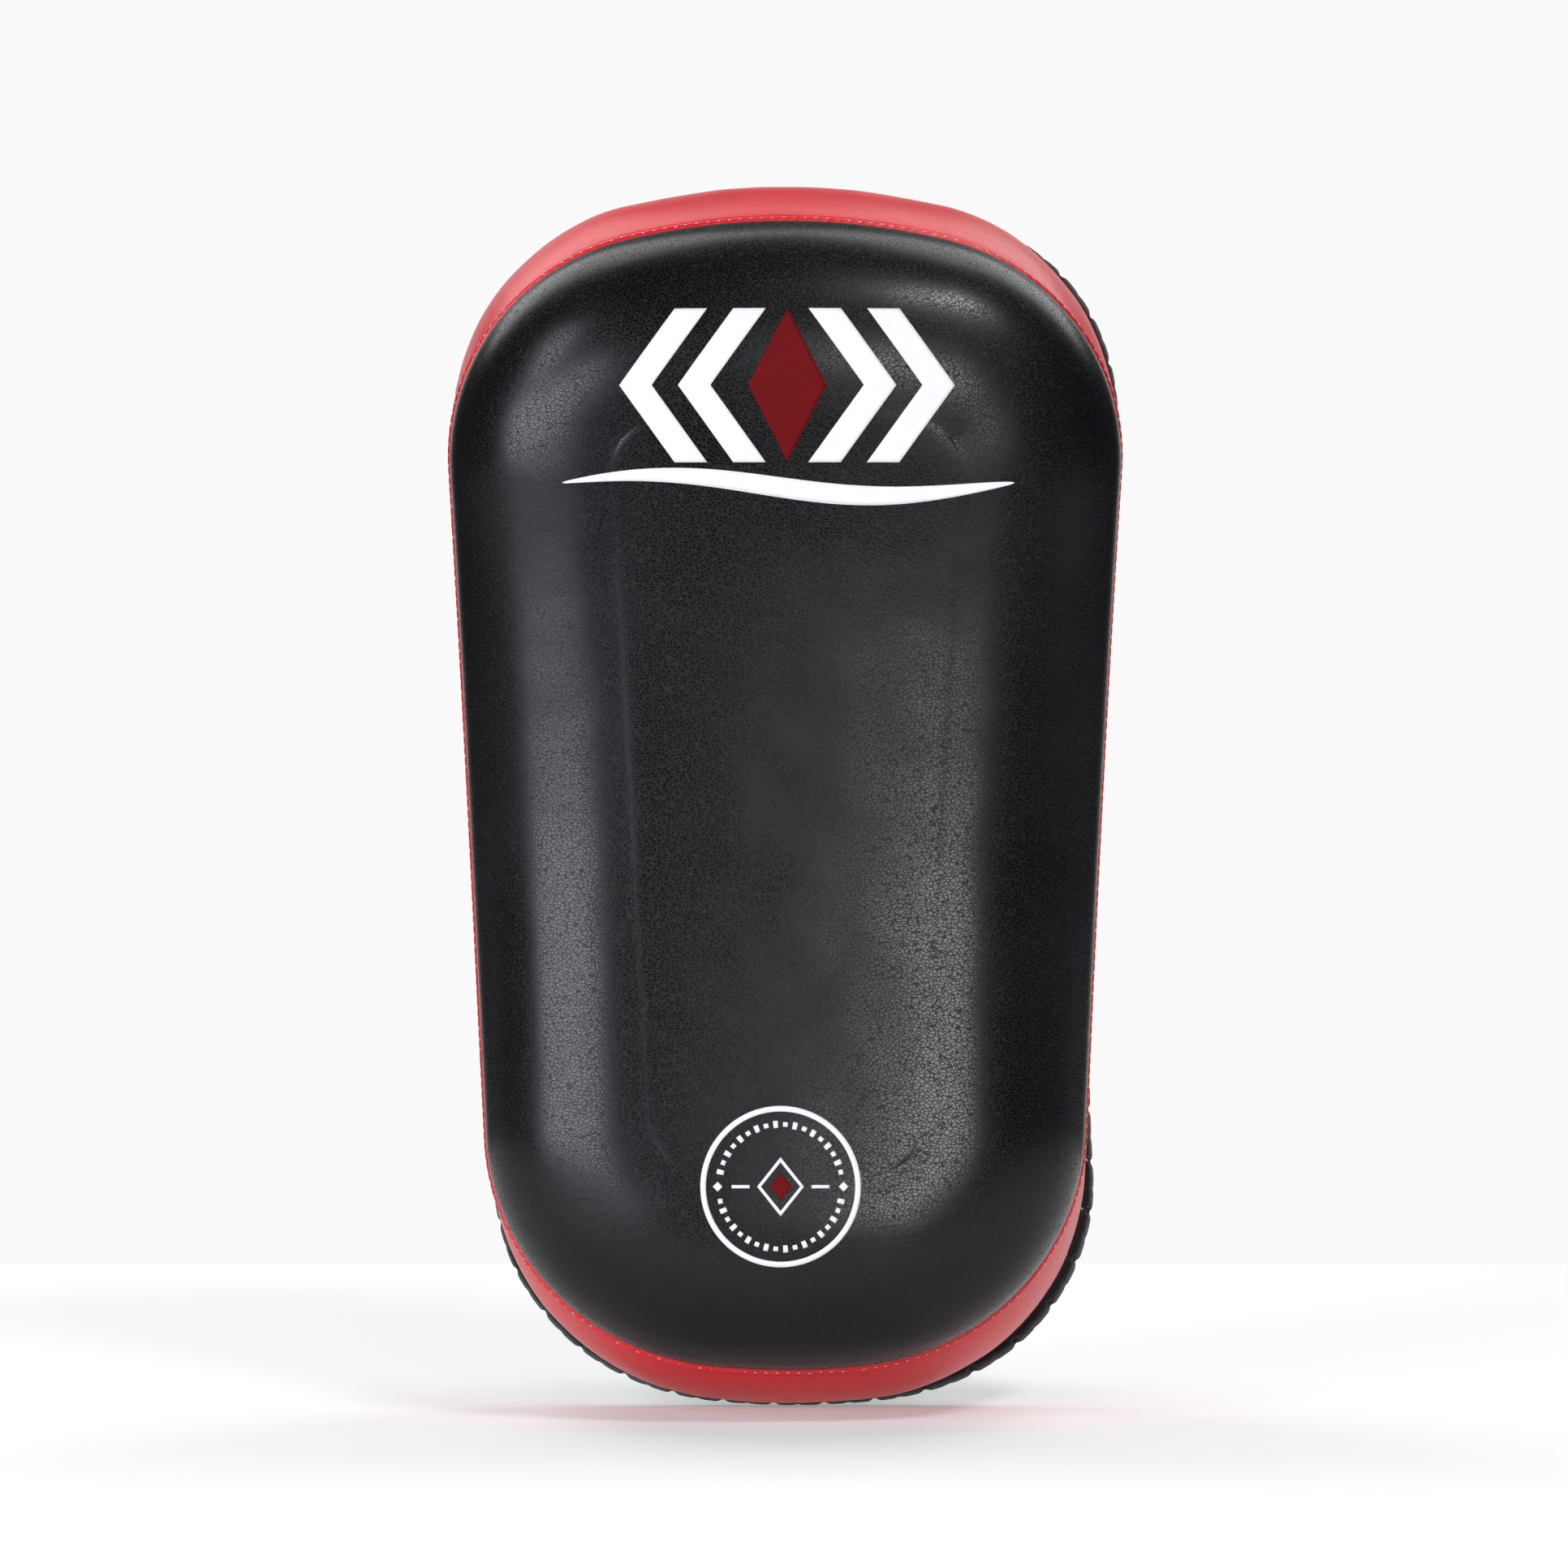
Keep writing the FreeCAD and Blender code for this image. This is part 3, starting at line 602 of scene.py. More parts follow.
FACE_LEATHER = leather("face_leather", (0.0018, 0.0018, 0.0026), (0.0040, 0.0040, 0.0058), 0.26,
                       Specular_IOR_Level=0.36)
BACK_LEATHER = leather("back_leather", (0.006, 0.006, 0.007), (0.011, 0.011, 0.012), 0.46,
                       Specular_IOR_Level=0.42)
STRAP_LEATHER = leather("strap_leather", (0.005, 0.005, 0.006), (0.009, 0.009, 0.010), 0.42, grain=0.9 * MM,
                        depth=0.045 * MM, Specular_IOR_Level=0.45)
RED_LEATHER = leather("red_leather", (0.60, 0.004, 0.012), (0.72, 0.008, 0.022), 0.36, grain=0.7 * MM,
                      depth=0.012 * MM, crease=0.04 * MM, Coat_Weight=0.2, Coat_Roughness=0.3)
WELT_LEATHER = leather("welt_leather", (0.62, 0.003, 0.010), (0.74, 0.008, 0.018), 0.30, grain=0.6 * MM,
                       depth=0.012 * MM, crease=0.03 * MM, Coat_Weight=0.3, Coat_Roughness=0.25)
BINDING = woven("binding_tape", (0.003, 0.003, 0.004), (0.020, 0.020, 0.022))
THREAD = thread_material("white_thread", (0.55, 0.52, 0.50), (0.85, 0.82, 0.80))
# real seam thread, coloured pale pink-white as painted glints along the seam
SEAM_THREAD_AND_GLINTS = thread_material("seam_thread_and_glints", (0.62, 0.22, 0.25), (0.92, 0.70, 0.70))
BACK_THREAD = thread_material("grey_thread", (0.16, 0.16, 0.17), (0.34, 0.34, 0.35))
WHITE_PRINT = print_material("white_print", (0.90, 0.90, 0.91), (0.85, 0.85, 0.86))
RED_PRINT = print_material("red_print", (0.15, 0.001, 0.003), (0.125, 0.001, 0.003))
STEEL = steel_material("ring_steel")
PALE_FOAM = foam_material("pale_foam", (0.55, 0.52, 0.44), (0.75, 0.72, 0.62))
GREY_FOAM = foam_material("grey_foam", (0.05, 0.05, 0.055), (0.14, 0.14, 0.15))
FLEECE = fleece_material("loop_fleece")
HOOKS = hook_material("hook_tape")


def sew(name, places, slot, body="pad", thread=BACK_THREAD, **size):
    """Stitches that ride with the piece they are sewn to."""
    settle(stitches(name, places, thread, **size), body, slot)


# ------------------------------------------------------------------ camera, light and floor

def studio():
    """A pale table, soft lights and the camera, nearly level with the middle of the pad."""
    low = cad_box[0][2]
    middle = (low + cad_box[1][2]) / 2
    face = cad_box[0][1]
    distance, view_width = 1.65, 0.4885
    scene = bpy.context.scene
    data = bpy.data.cameras.new("camera")
    camera = bpy.data.objects.new("camera", data)
    scene.collection.objects.link(camera)
    data.sensor_width = 36.0
    data.lens = data.sensor_width * distance / view_width
    camera.location = (-22 * MM, face - distance + 30 * MM, middle - 14 * MM)
    camera.rotation_euler = (math.radians(90.0), 0.0, 0.0)
    data.shift_x = (-0.6 * MM - camera.location[0]) / view_width
    data.shift_y = (middle + 3.5 * MM - camera.location[2]) / view_width
    scene.camera = camera

    table_half, near, far = 1.6, -0.75, 0.50
    spots = [(x, y, low) for y in (near, far) for x in (-table_half, table_half)]
    pale = (0.84, 0.84, 0.845, 1.0)
    n = Nodes("table", Base_Color=pale, Roughness=0.8, Specular_IOR_Level=0.0,
              Emission_Color=pale, Emission_Strength=0.30)
    make("table", spots, [(0, 1, 3, 2)], n.finish())

    # a white backdrop: seen by the camera and mirrored at a low angle, dim everywhere else
    world = bpy.data.worlds.new("studio")
    world.use_nodes = True
    sky = Tree(world.node_tree)
    background = sky.tree.nodes["Background"]
    seen = sky.add("ShaderNodeLightPath").outputs["Is Camera Ray"]
    toward = sky.add("ShaderNodeTexCoord").outputs["Generated"]
    ahead = sky.add("ShaderNodeSeparateXYZ", {"Vector": toward}).outputs["Y"]
    share = sky.math("MAXIMUM", seen, sky.spread(ahead, 0.87, 0.93))
    sky.tree.links.new(sky.spread(share, 0.0, 1.0, 0.04, 0.95), background.inputs["Strength"])
    background.inputs["Color"].default_value = (1.0, 1.0, 1.0, 1.0)
    scene.world = world
    scene.view_settings.view_transform = "Standard"

    def light(name, place, aim, power, wide, tall, color, direct=False):
        """A soft box; a direct one throws no red light from the side band on the table."""
        data = bpy.data.lights.new(name, "AREA")
        data.shape = "RECTANGLE"
        data.size, data.size_y = wide, tall
        data.energy = power
        data.color = color
        if direct:
            data.cycles.max_bounces = 0
        item = bpy.data.objects.new(name, data)
        scene.collection.objects.link(item)
        item.location = place
        item.rotation_euler = (Vector(aim) - Vector(place)).to_track_quat("-Z", "Y").to_euler()

    aim, white = (0.0, 0.0, middle), (1.0, 1.0, 1.0)
    light("left", (-1.12, -1.45, middle + 0.16), aim, 17.0, 1.20, 0.5, (0.88, 0.91, 1.0), True)
    light("left_high", (-1.2, -1.25, middle + 0.80), aim, 5.0, 0.4, 0.5, (0.92, 0.94, 1.0), True)
    light("front", (0.44, -1.9, middle + 0.17), aim, 6.5, 0.5, 0.22, (0.97, 0.98, 1.0), True)
    light("high_front", (0.66, -1.2, middle + 1.18), aim, 10.0, 0.5, 0.25, white)
    for name, side in (("top_left", -1), ("top_right", 1)):
        light(name, (side * 0.85, 0.78, middle + 1.6), (0.0, 0.0, low), 17.5, 1.1, 1.8, white)


# ------------------------------------------------------------------ the padded body

def face_samples(across, along):
    """Shares of the outline, going round from the upper left corner, side by side."""
    stops = CORNERS[1:] + [CORNERS[0] + 1.0]
    sides = zip(CORNERS, stops, (across, along, across, along))
    return np.concatenate([np.linspace(*side, endpoint=False) for side in sides])


def rounded_loop(half_x, low, high, corner, across, along):
    """x and y round a rounded rectangle, going round from the middle of its upper left corner."""
    spots = []
    eighth = math.pi / 4
    left, right, bottom, top = corner - half_x, half_x - corner, low + corner, high - corner
    sides = (
        ((left, top), (right, top), math.pi / 2, across),
        ((right, top), (right, bottom), 0.0, along),
        ((right, bottom), (left, bottom), -math.pi / 2, across),
        ((left, bottom), (left, top), math.pi, along),
    )
    for first, last, facing, count in sides:
        straight = math.dist(first, last)
        bend = corner * eighth
        for s in np.linspace(0, straight + 2 * bend, count, endpoint=False):
            along_line = min(max(s - bend, 0.0), straight) / straight
            x = first[0] + (last[0] - first[0]) * along_line
            y = first[1] + (last[1] - first[1]) * along_line
            angle = facing + eighth * (max(bend - s, 0.0) / bend - max(s - bend - straight, 0.0) / bend)
            spots.append((x + corner * math.cos(angle), y + corner * math.sin(angle)))
    return np.array(spots)


def coons(ring, across, along, depth, crown):
    """A smooth patch over a closed ring of points, as rows by columns of points."""
    sides = np.stack([ring[:, 0], turn_of(ring)], -1)
    top, right = sides[:across + 1], sides[across:across + along + 1]
    bottom = sides[across + along:2 * across + along + 1][::-1]
    left = np.concatenate([sides[2 * across + along:], sides[:1]])[::-1]
    s = np.linspace(0, 1, across + 1)[None, :, None]
    t = np.linspace(0, 1, along + 1)[:, None, None]
    flat = (1 - t) * top[None] + t * bottom[None] + (1 - s) * left[:, None] + s * right[:, None]
    flat -= ((1 - s) * (1 - t) * top[0] + s * (1 - t) * top[-1]
             + (1 - s) * t * bottom[0] + s * t * bottom[-1])
    swell = crown * (np.sin(math.pi * s) * np.sin(math.pi * t))[..., 0]
    return bent(flat[..., 0], flat[..., 1], depth + swell)


def pillow(name, rings, across, along, hidden, shown, material):
    """A closed form from rings of points, back to front, with a patch over its first and last.

    hidden and shown are the (depth, crown) of the two patches. Returns the object and, for each
    vertex, the number of the ring that it belongs to.
    """
    count = len(rings[0])
    points = np.concatenate(rings)
    level = np.repeat(np.arange(len(rings)), count)
    faces, _ = grid(len(rings), count, False, True)
    for ring, (depth, crown) in ((len(rings) - 1, shown), (0, hidden)):
        inner = coons(rings[ring], across, along, depth, crown)
        index = np.full((along + 1, across + 1), -1)
        start = ring * count
        index[0, :] = start + np.arange(across + 1)
        index[:, across] = start + across + np.arange(along + 1)
        index[along, ::-1] = start + across + along + np.arange(across + 1)
        index[::-1, 0] = start + (2 * across + along + np.arange(along + 1)) % count
        hollow = index < 0
        index[hollow] = len(points) + np.arange(hollow.sum())
        points = np.concatenate([points, inner[hollow]])
        level = np.concatenate([level, np.full(hollow.sum(), ring)])
        named = index.ravel()
        faces += [[named[i] for i in face] for face in grid(along + 1, across + 1)[0]]
    return make(name, points, faces, material), level


def depth_of(points):
    """Depth through the padding of points in the part's frame."""
    spots = points + ORIGIN
    return np.hypot(spots[..., 1] + BEND, spots[..., 2]) - BEND


def shoulder_rings(u, reach, tall, near, inset, steps):
    """Rings from the side round the shoulder to the flat of the face, by a squared-off ellipse."""
    fullness = 2 / 2.35
    rings = []
    for k in range(1, steps + 1):
        a = math.pi / 2 * k / steps
        grow = -inset - reach * (1 - math.cos(a) ** fullness)
        rings.append(wall(u, grow, near - tall * math.sin(a) ** fullness))
    return rings


def face_cover():
    """The striking face: leather drawn over crowned foam, swollen as cloth."""
    across, along = 44, 84
    u = face_samples(across, along)
    reach, lip = 50 * MM, 1.2 * MM
    rings = [wall(u, -9 * MM, SEAM + 0.4 * MM), wall(u, -4 * MM, SEAM + 0.2 * MM)]
    rings += [wall(u, -0.9 * MM, SEAM), wall(u, -0.2 * MM, SEAM - lip)]
    fixed = len(rings)
    shoulder = FACE + 3.0 * MM
    rings += shoulder_rings(u, reach, SEAM - lip - shoulder, SEAM - lip, 0.0, 15)
    cover, level = pillow("face_cover_leather", rings, across, along,
                          (SEAM + 0.4 * MM, 0.0), (shoulder, 0.0), FACE_LEATHER)
    spots = coordinates(cover.data)
    dome, half_width, half_height = 5.5 * MM, 116 * MM, 205 * MM
    dome = dome * (1 - (spots[:, 0] / half_width) ** 2) * (1 - ((spots[:, 2] + ORIGIN[2]) / half_height) ** 2)
    spots[:, 1] -= dome * smooth((SEAM - depth_of(spots)) / (SEAM - shoulder))
    set_coordinates(cover, spots)
    inflate(cover, smooth((level - fixed + 1) / 6), 1.6 * MM, pressure=3.0, evening=160)
    subdivide(cover, 2)
    spots = coordinates(cover.data)
    loose = smooth((SEAM - 6 * MM - depth_of(spots)) / (20 * MM))
    swell = ripple(spots, 55 * MM, 2) * 0.5 * MM + ripple(spots, 16 * MM, 5) * 0.10 * MM
    spots[:, 1] -= swell * loose
    set_coordinates(cover, spots)
    settle(cover, "pad", "face_leather", "face_cover")
    return cover


def strike_foam():
    """The foam that fills the face, a little smaller than its cover all over."""
    across, along = 22, 42
    u = face_samples(across, along)
    under = 3.2 * MM
    rings = [wall(u, -under, SEAM)]
    rings += shoulder_rings(u, 46 * MM, SEAM - FACE - under, SEAM, under, 8)
    foam, _ = pillow("strike_foam_block", rings, across, along,
                     (SEAM, 0.0), (FACE + under, 0.0), PALE_FOAM)
    subdivide(foam)
    settle(foam, "pad", "soft_foam", "strike_foam")


def side_band():
    """The red band: drawn tight over the foam, puffed in the middle and puckered at the tape."""
    rows = 26
    u = even_shares(900)
    share = np.linspace(0, 1, rows)
    near_stitch = np.abs(np.mod(u * BINDING_STITCHES + 0.5, 1.0) - 0.5) * AROUND / BINDING_STITCHES
    up = heading(u)[0]
    fullness = (0.7 + 5.0 * np.maximum(up, 0) ** 1.3 + 4.2 * np.maximum(-up, 0)) * MM
    outer = []
    for v in share:
        depth = WELT_BACK - 0.8 * MM + (BACK - WELT_BACK + 0.4 * MM) * v
        puff = fullness * math.sin(math.pi * v) ** 0.8
        pucker = 0.9 * MM * np.exp(-(near_stitch / (2.6 * MM)) ** 2) * math.exp(-((1 - v) * 50 / 9) ** 2)
        outer.append(wall(u, puff - 0.4 * MM - pucker, depth))
    inner = [wall(u, -1.9 * MM, BACK - 0.2 * MM), wall(u, -1.9 * MM, WELT_BACK - 0.4 * MM)]
    points = np.stack(outer + inner, 1)
    shown = points[:, :rows]
    wave = ripple(shown, 26 * MM, 7) * 0.45 * MM + ripple(shown, 8 * MM, 9) * 0.07 * MM
    fade = np.sin(math.pi * share) ** 0.7
    middle = wall(u, -20 * MM, BACK / 2)
    away = shown - middle[:, None]
    away[..., 1] = 0
    away /= np.linalg.norm(away, axis=-1, keepdims=True)
    shown += away * (wave * fade)[..., None]
    band = loft("side_band_leather", points, RED_LEATHER, (AROUND, 110 * MM), True)
    settle(band, "pad", "red_leather", "side_band")


def seam_welt():
    """The rolled edge between face and band, and the stitches that close it."""
    around = 14
    u = even_shares(1400)
    bite = np.exp(-((np.mod(u * SEAM_STITCHES, 1.0) - 0.5) / 0.16) ** 2)
    sections = []
    radius = 1.35 * MM - 0.10 * MM * bite
    for k in range(around):
        a = TAU * k / around
        grow = -0.75 * MM + radius * math.cos(a)
        depth = (SEAM + WELT_BACK) / 2 + 1.02 * radius * math.sin(a)
        sections.append(wall(u, grow, depth))
    welt = loft("seam_welt_roll", np.stack(sections, 1), WELT_LEATHER, (AROUND, 10 * MM), True)
    settle(welt, "pad", "red_leather", "seam_welt")
    places = []
    for k in range(SEAM_STITCHES):
        at = (k + 0.5) / SEAM_STITCHES
        before, spot, after = wall(np.array([at - 1e-3, at, at + 1e-3]), 0.25 * MM, SEAM + 0.75 * MM)
        out = wall([at], 3 * MM, SEAM - 3 * MM)[0] - spot
        lean = (after - before) / np.linalg.norm(after - before)
        lean = lean + out / np.linalg.norm(out) * RNG.uniform(-0.3, 0.3)
        sunk = out / np.linalg.norm(out) * RNG.uniform(0.0, 0.3) * MM
        places.append((spot - sunk + RNG.normal(0, 0.10 * MM, 3), lean, out))
    # small pale stitches: real thread that also stands in for painted glints
    sew("seam_stitching", places, "red_leather", thread=SEAM_THREAD_AND_GLINTS, length=1.2 * MM, radius=0.20 * MM)


def edge_binding():
    """Woven tape folded over the back edge and pinched by the hand stitches that hold it."""
    u = even_shares(1320)
    pitch = AROUND / BINDING_STITCHES
    phase = np.mod(u * BINDING_STITCHES, 1.0)
    pinch = np.exp(-(np.minimum(phase, 1 - phase) * pitch / (1.15 * MM)) ** 2)
    sag = np.exp(-((phase - 0.52) * pitch / (1.1 * MM)) ** 2) * 0.3
    knots = np.append(RNG.uniform(-1, 1, BINDING_STITCHES), 0.0)
    uneven = np.interp(u * BINDING_STITCHES, np.arange(BINDING_STITCHES + 1), knots)
    up, right = heading(u)[0], outline(u, 0.0, 0.0)[0] > 0
    low_corner = smooth(-up / 0.25) * smooth((1 + up) / 0.2)
    high_corner = smooth(up / 0.2) * smooth((0.9 - up) / 0.2)
    ends = smooth((up - 0.8) / 0.2)
    proud = low_corner * np.where(right, 3.0, 1.8) + high_corner * np.where(right, 1.6, -1.2) - 0.9 * ends
    reach = 30
    proud = np.pad(proud * MM, reach, "wrap")
    proud = np.convolve(proud, np.ones(2 * reach + 1) / (2 * reach + 1), "valid")
    profile = [  # (grow, depth from the back, how much the pinch pulls it in), in millimetres
        (0.0, -6.2, 0.2), (0.9, -6.0, 1.0), (1.5, -4.8, 0.9), (1.9, -3.4, 0.7),
        (2.1, -1.4, 0.8), (1.9, 0.4, 1.0), (1.2, 1.6, 1.1), (0.0, 2.2, 1.1),
        (-2.5, 2.3, 0.9), (-5.0, 2.1, 0.8), (-7.2, 1.8, 0.9), (-8.6, 1.2, 1.0),
        (-9.0, 0.3, 0.3), (-5.0, 0.1, 0.0), (-0.6, 0.0, 0.0), (-0.4, -3.0, 0.0),
    ]
    rows = []
    for grow, depth, pull in profile:
        squeeze = 1.0 * MM * pull * (pinch + sag)
        out = grow * MM + proud * max(0.0, min(1.0, (grow + 0.6) / 1.5))
        if depth < 0:
            edge = (2.0 * MM * pinch + 0.5 * MM * uneven) * (pull if depth < -4 else 0.0)
            rows.append(wall(u, out - squeeze + 0.2 * MM * uneven, BACK + (depth * MM + edge)))
        else:
            pull_out = (1.6 * MM * pinch + 0.5 * MM * uneven) * (1.0 if grow < -7 else 0.0)
            side = squeeze if grow > -1 else 0.0
            dip = 0.7 * squeeze if depth > 0.2 else 0.0
            rows.append(wall(u, out - side + pull_out, BACK + depth * MM - dip))
    tape = loft("edge_binding_tape", np.stack(rows, 1), BINDING, (AROUND, 30 * MM), True)
    settle(tape, "pad", "binding_tape", "edge_binding")
    places = []
    side_in, back_in = BACK - 4.0 * MM, BACK + 1.2 * MM
    for k in range(BINDING_STITCHES):
        for spots in (((0.7, side_in), (0.7, BACK), (4.0, side_in)),
                      ((-7.0, back_in), (-9.0, back_in), (-7.0, BACK + 5 * MM))):
            at, ahead, out = (wall([k / BINDING_STITCHES], g * MM, depth)[0] for g, depth in spots)
            places.append((at, ahead - at, out - at))
    sew("binding_stitching", places, "binding_tape", thread=THREAD, length=4.4 * MM)


def back_panel():
    """The leather over the back, a little puffed between the tape and the stitched-on pieces."""
    across, along = 90, 170
    u = face_samples(across, along)
    ring = wall(u, -2.6 * MM, BACK)
    spots = coons(ring, across, along, BACK, 0.0)
    s = np.linspace(0, 1, across + 1)[None, :]
    t = np.linspace(0, 1, along + 1)[:, None]
    rim = np.minimum(np.minimum(s, 1 - s) * 2.2, np.minimum(t, 1 - t) * 4)
    wave = (ripple(spots, 30 * MM, 3) * 0.35 - 0.25) * MM + ripple(spots, 9 * MM, 4) * 0.08 * MM
    turn = turn_of(spots)
    upper = bent(spots[..., 0], turn, BACK + wave * smooth(rim * 3) - 0.15 * MM)
    lower = bent(spots[..., 0], turn, BACK - 1.8 * MM)
    points = np.concatenate([upper.reshape(-1, 3), lower.reshape(-1, 3)])
    faces = [f[::-1] for f in slab(along + 1, across + 1)]
    panel = make("back_panel_leather", points, faces, BACK_LEATHER)
    settle(panel, "pad", "back_leather", "back_panel")


# ------------------------------------------------------------------ straps and patches

def distances(line):
    """How far along a line each of its points is."""
    return np.concatenate([[0.0], np.cumsum(np.linalg.norm(np.diff(line, axis=0), axis=1))])


def round_loop(loop):
    """A closed loop's length, and a function that gives its point at a distance along it."""
    loop = np.concatenate([loop, loop[:1]])
    walk = distances(loop)
    return walk[-1], lambda s: [np.interp(s % walk[-1], walk, loop[:, k]) for k in range(2)]


class Route:
    """A line through straight moves and arcs, sampled finely, with its side and its length."""

    def __init__(self, *moves, soften=0.0):
        step = 0.2 * MM
        spots = []
        for move in moves:
            if move[0] == "line":
                count = max(2, int(math.dist(move[1], move[2]) / step))
                share = np.linspace(0, 1, count)[:, None]
                spots.append(np.array(move[1]) * (1 - share) + np.array(move[2]) * share)
            else:
                _, centre, radius, first, last = move
                count = max(3, int(radius * math.radians(abs(last - first)) / step))
                angle = np.radians(np.linspace(first, last, count))
                spots.append(np.stack([centre[0] + radius * np.cos(angle),
                                       centre[1] + radius * np.sin(angle)], -1))
        line = np.concatenate(spots)
        keep = np.concatenate([[True], np.linalg.norm(np.diff(line, axis=0), axis=1) > step / 20])
        line = line[keep]
        if soften:
            reach = int(soften / step)
            padded = np.pad(line, ((reach, reach), (0, 0)), "edge")
            kernel = np.ones(2 * reach + 1) / (2 * reach + 1)
            line = np.stack([np.convolve(padded[:, k], kernel, "valid") for k in range(2)], -1)
        self.line = line
        self.walk = distances(line)
        self.length = self.walk[-1]

    def at(self, s):
        """The point, the direction and the left-hand side at a distance along the line."""
        def spot(walk):
            return np.stack([np.interp(walk, self.walk, self.line[:, k]) for k in range(2)], -1)

        s = np.asarray(s, float)
        reach = 0.5 * MM
        ahead = spot(np.minimum(s + reach, self.length)) - spot(np.maximum(s - reach, 0.0))
        ahead /= np.linalg.norm(ahead, axis=-1, keepdims=True)
        return spot(s), ahead, np.stack([-ahead[..., 1], ahead[..., 0]], -1)

    def beside(self, place, s, across, lift, forward=0.0):
        """Points in a local frame: lift is to the line's left-hand side, forward along it."""
        middle, ahead, side = self.at(s)
        x, y = (middle[..., k] + side[..., k] * lift + ahead[..., k] * forward for k in range(2))
        return place(x, y, across)


def dense_section(wide, thick, groove, groove_at):
    """Across and through, round a strap's section: rolled edges and a groove by each edge."""
    half, edge = wide / 2, thick * 0.42
    inner = np.linspace(-(half - edge), half - edge, 30)
    dip = groove * np.exp(-((np.abs(inner) - half + groove_at) / (0.8 * MM)) ** 2)
    crown = 0.12 * MM * (1 - (inner / half) ** 2)
    side = [(half - edge + edge * math.cos(a), thick / 2 * math.sin(a)) for a in np.linspace(1.3, -1.3, 7)]
    upper = list(zip(inner, thick / 2 - dip + crown - 0.06 * MM))
    lower = list(zip(inner[::-1], -(thick / 2 - dip * 0.6)))
    other = [(-x, y) for x, y in side[::-1]]
    return np.array(upper + side + lower + other)


def ribbon(name, route, place, wide, thick, material, body, slot, node, groove=0.28 * MM,
           groove_at=THREAD_INSET, spacing=1.2 * MM, round_end=0.0, wrinkle=0.12 * MM, seed=1):
    """A flat strap along a route in a local frame, settled on its body."""
    shape = dense_section(wide, thick, groove, groove_at)
    count = max(8, int(route.length / spacing))
    s = np.linspace(0, route.length, count)
    if round_end:
        tail = route.length - np.linspace(1, 0, 14)[1:] ** 2 * round_end
        s = np.concatenate([s[s < route.length - round_end], [route.length - round_end], tail])
    width = np.ones(len(s))
    if round_end:
        left = np.clip(route.length - s, 0.0, round_end)
        half = wide / 2
        width = (half - round_end + np.sqrt(round_end ** 2 - (round_end - left) ** 2)) / half
        width = np.where(route.length - s < round_end, np.maximum(width, 0.4), 1.0)
    lip = 0.5 * thick
    ends = np.minimum(np.clip(s / lip, 0, 1), np.clip((route.length - s) / lip, 0, 1))
    full = 0.55 + 0.45 * np.sqrt(1 - (1 - ends) ** 2)
    across = shape[None, :, 0] * width[:, None]
    lift = shape[None, :, 1] * full[:, None]
    plain = route.beside(place, s[:, None], across, lift)
    wave = ripple(plain, 11 * MM, seed) * wrinkle + ripple(plain, 34 * MM, seed + 3) * wrinkle
    points = route.beside(place, s[:, None], across, lift + wave)
    settle(loft(name, points, material, (route.length, 2 * wide)), body, slot, node)


def threads(route, place, s, across, lift, forward=0.0, sideways=0.0):
    """Stitches on a strap's left-hand side: the middle, direction and normal of each."""
    spots = route.beside(place, s, across, lift)
    ends = route.beside(place, s, across + sideways, lift, forward)
    tops = route.beside(place, s, across, lift + MM)
    return [(a, b - a, c - a) for a, b, c in zip(spots, ends, tops)]


def row_along(route, place, first, last, across, lift, pitch=THREAD_SPACING):
    """Places for stitches in a row beside a strap's edge."""
    s = np.linspace(first, last, max(2, int((last - first) / pitch)))
    return threads(route, place, s, across, lift, forward=MM)


def row_across(route, place, s, low, high, lift, pitch=THREAD_SPACING):
    """Places for stitches in a row across a strap."""
    z = np.linspace(low, high, max(2, int((high - low) / pitch)))
    return threads(route, place, np.full(len(z), s), z, lift, sideways=MM)


def patch(name, place, x_span, half_z, low, corner, node):
    """A leather patch with rolled edges over a strap's end, stitched round inside its edge."""
    high = low + 1.85 * MM
    middle, half_x = sum(x_span) / 2, (x_span[1] - x_span[0]) / 2
    profile = (  # how far in from the edge, and the height, in millimetres from the patch's top
        (0.5, -1.85), (0.0, -1.35), (0.0, -0.8), (0.25, -0.3), (0.9, -0.05), (1.9, 0.0), (2.6, -0.22),
        (3.1, -0.28), (3.6, -0.2), (4.6, 0.04), (6.5, 0.08),
    )
    sections = []
    for inset, rise in profile:
        inset *= MM
        edge = half_z - inset
        loop = rounded_loop(half_x - inset, -edge, edge, max(corner - inset, 0.6 * MM), 30, 40)
        sections.append(place(loop[:, 0] + middle, high + rise * MM, loop[:, 1]))
    piece = loft(f"{name}_leather", np.array(sections), BACK_LEATHER, (20 * MM, 4 * half_z))
    settle(piece, "pad", "back_leather", node)

    inset, y = 3.1 * MM, high - 0.25 * MM
    half_x, half = half_x - inset, half_z - inset
    bend = max(corner - inset, MM)
    count = int((4 * half_x + 4 * half - 8 * (corner - inset) + TAU * bend) / THREAD_SPACING)
    length, spot = round_loop(rounded_loop(half_x, -half, half, bend, 200, 200))
    row = []
    for s in np.linspace(0, length, count, endpoint=False):
        (x, z), (next_x, next_z) = spot(s), spot(s + MM)
        at = place(x + middle, y, z)
        row.append((at, place(next_x + middle, y, next_z) - at, place(x + middle, y + MM, z) - at))
    sew(f"{name}_stitching", row, "back_leather")


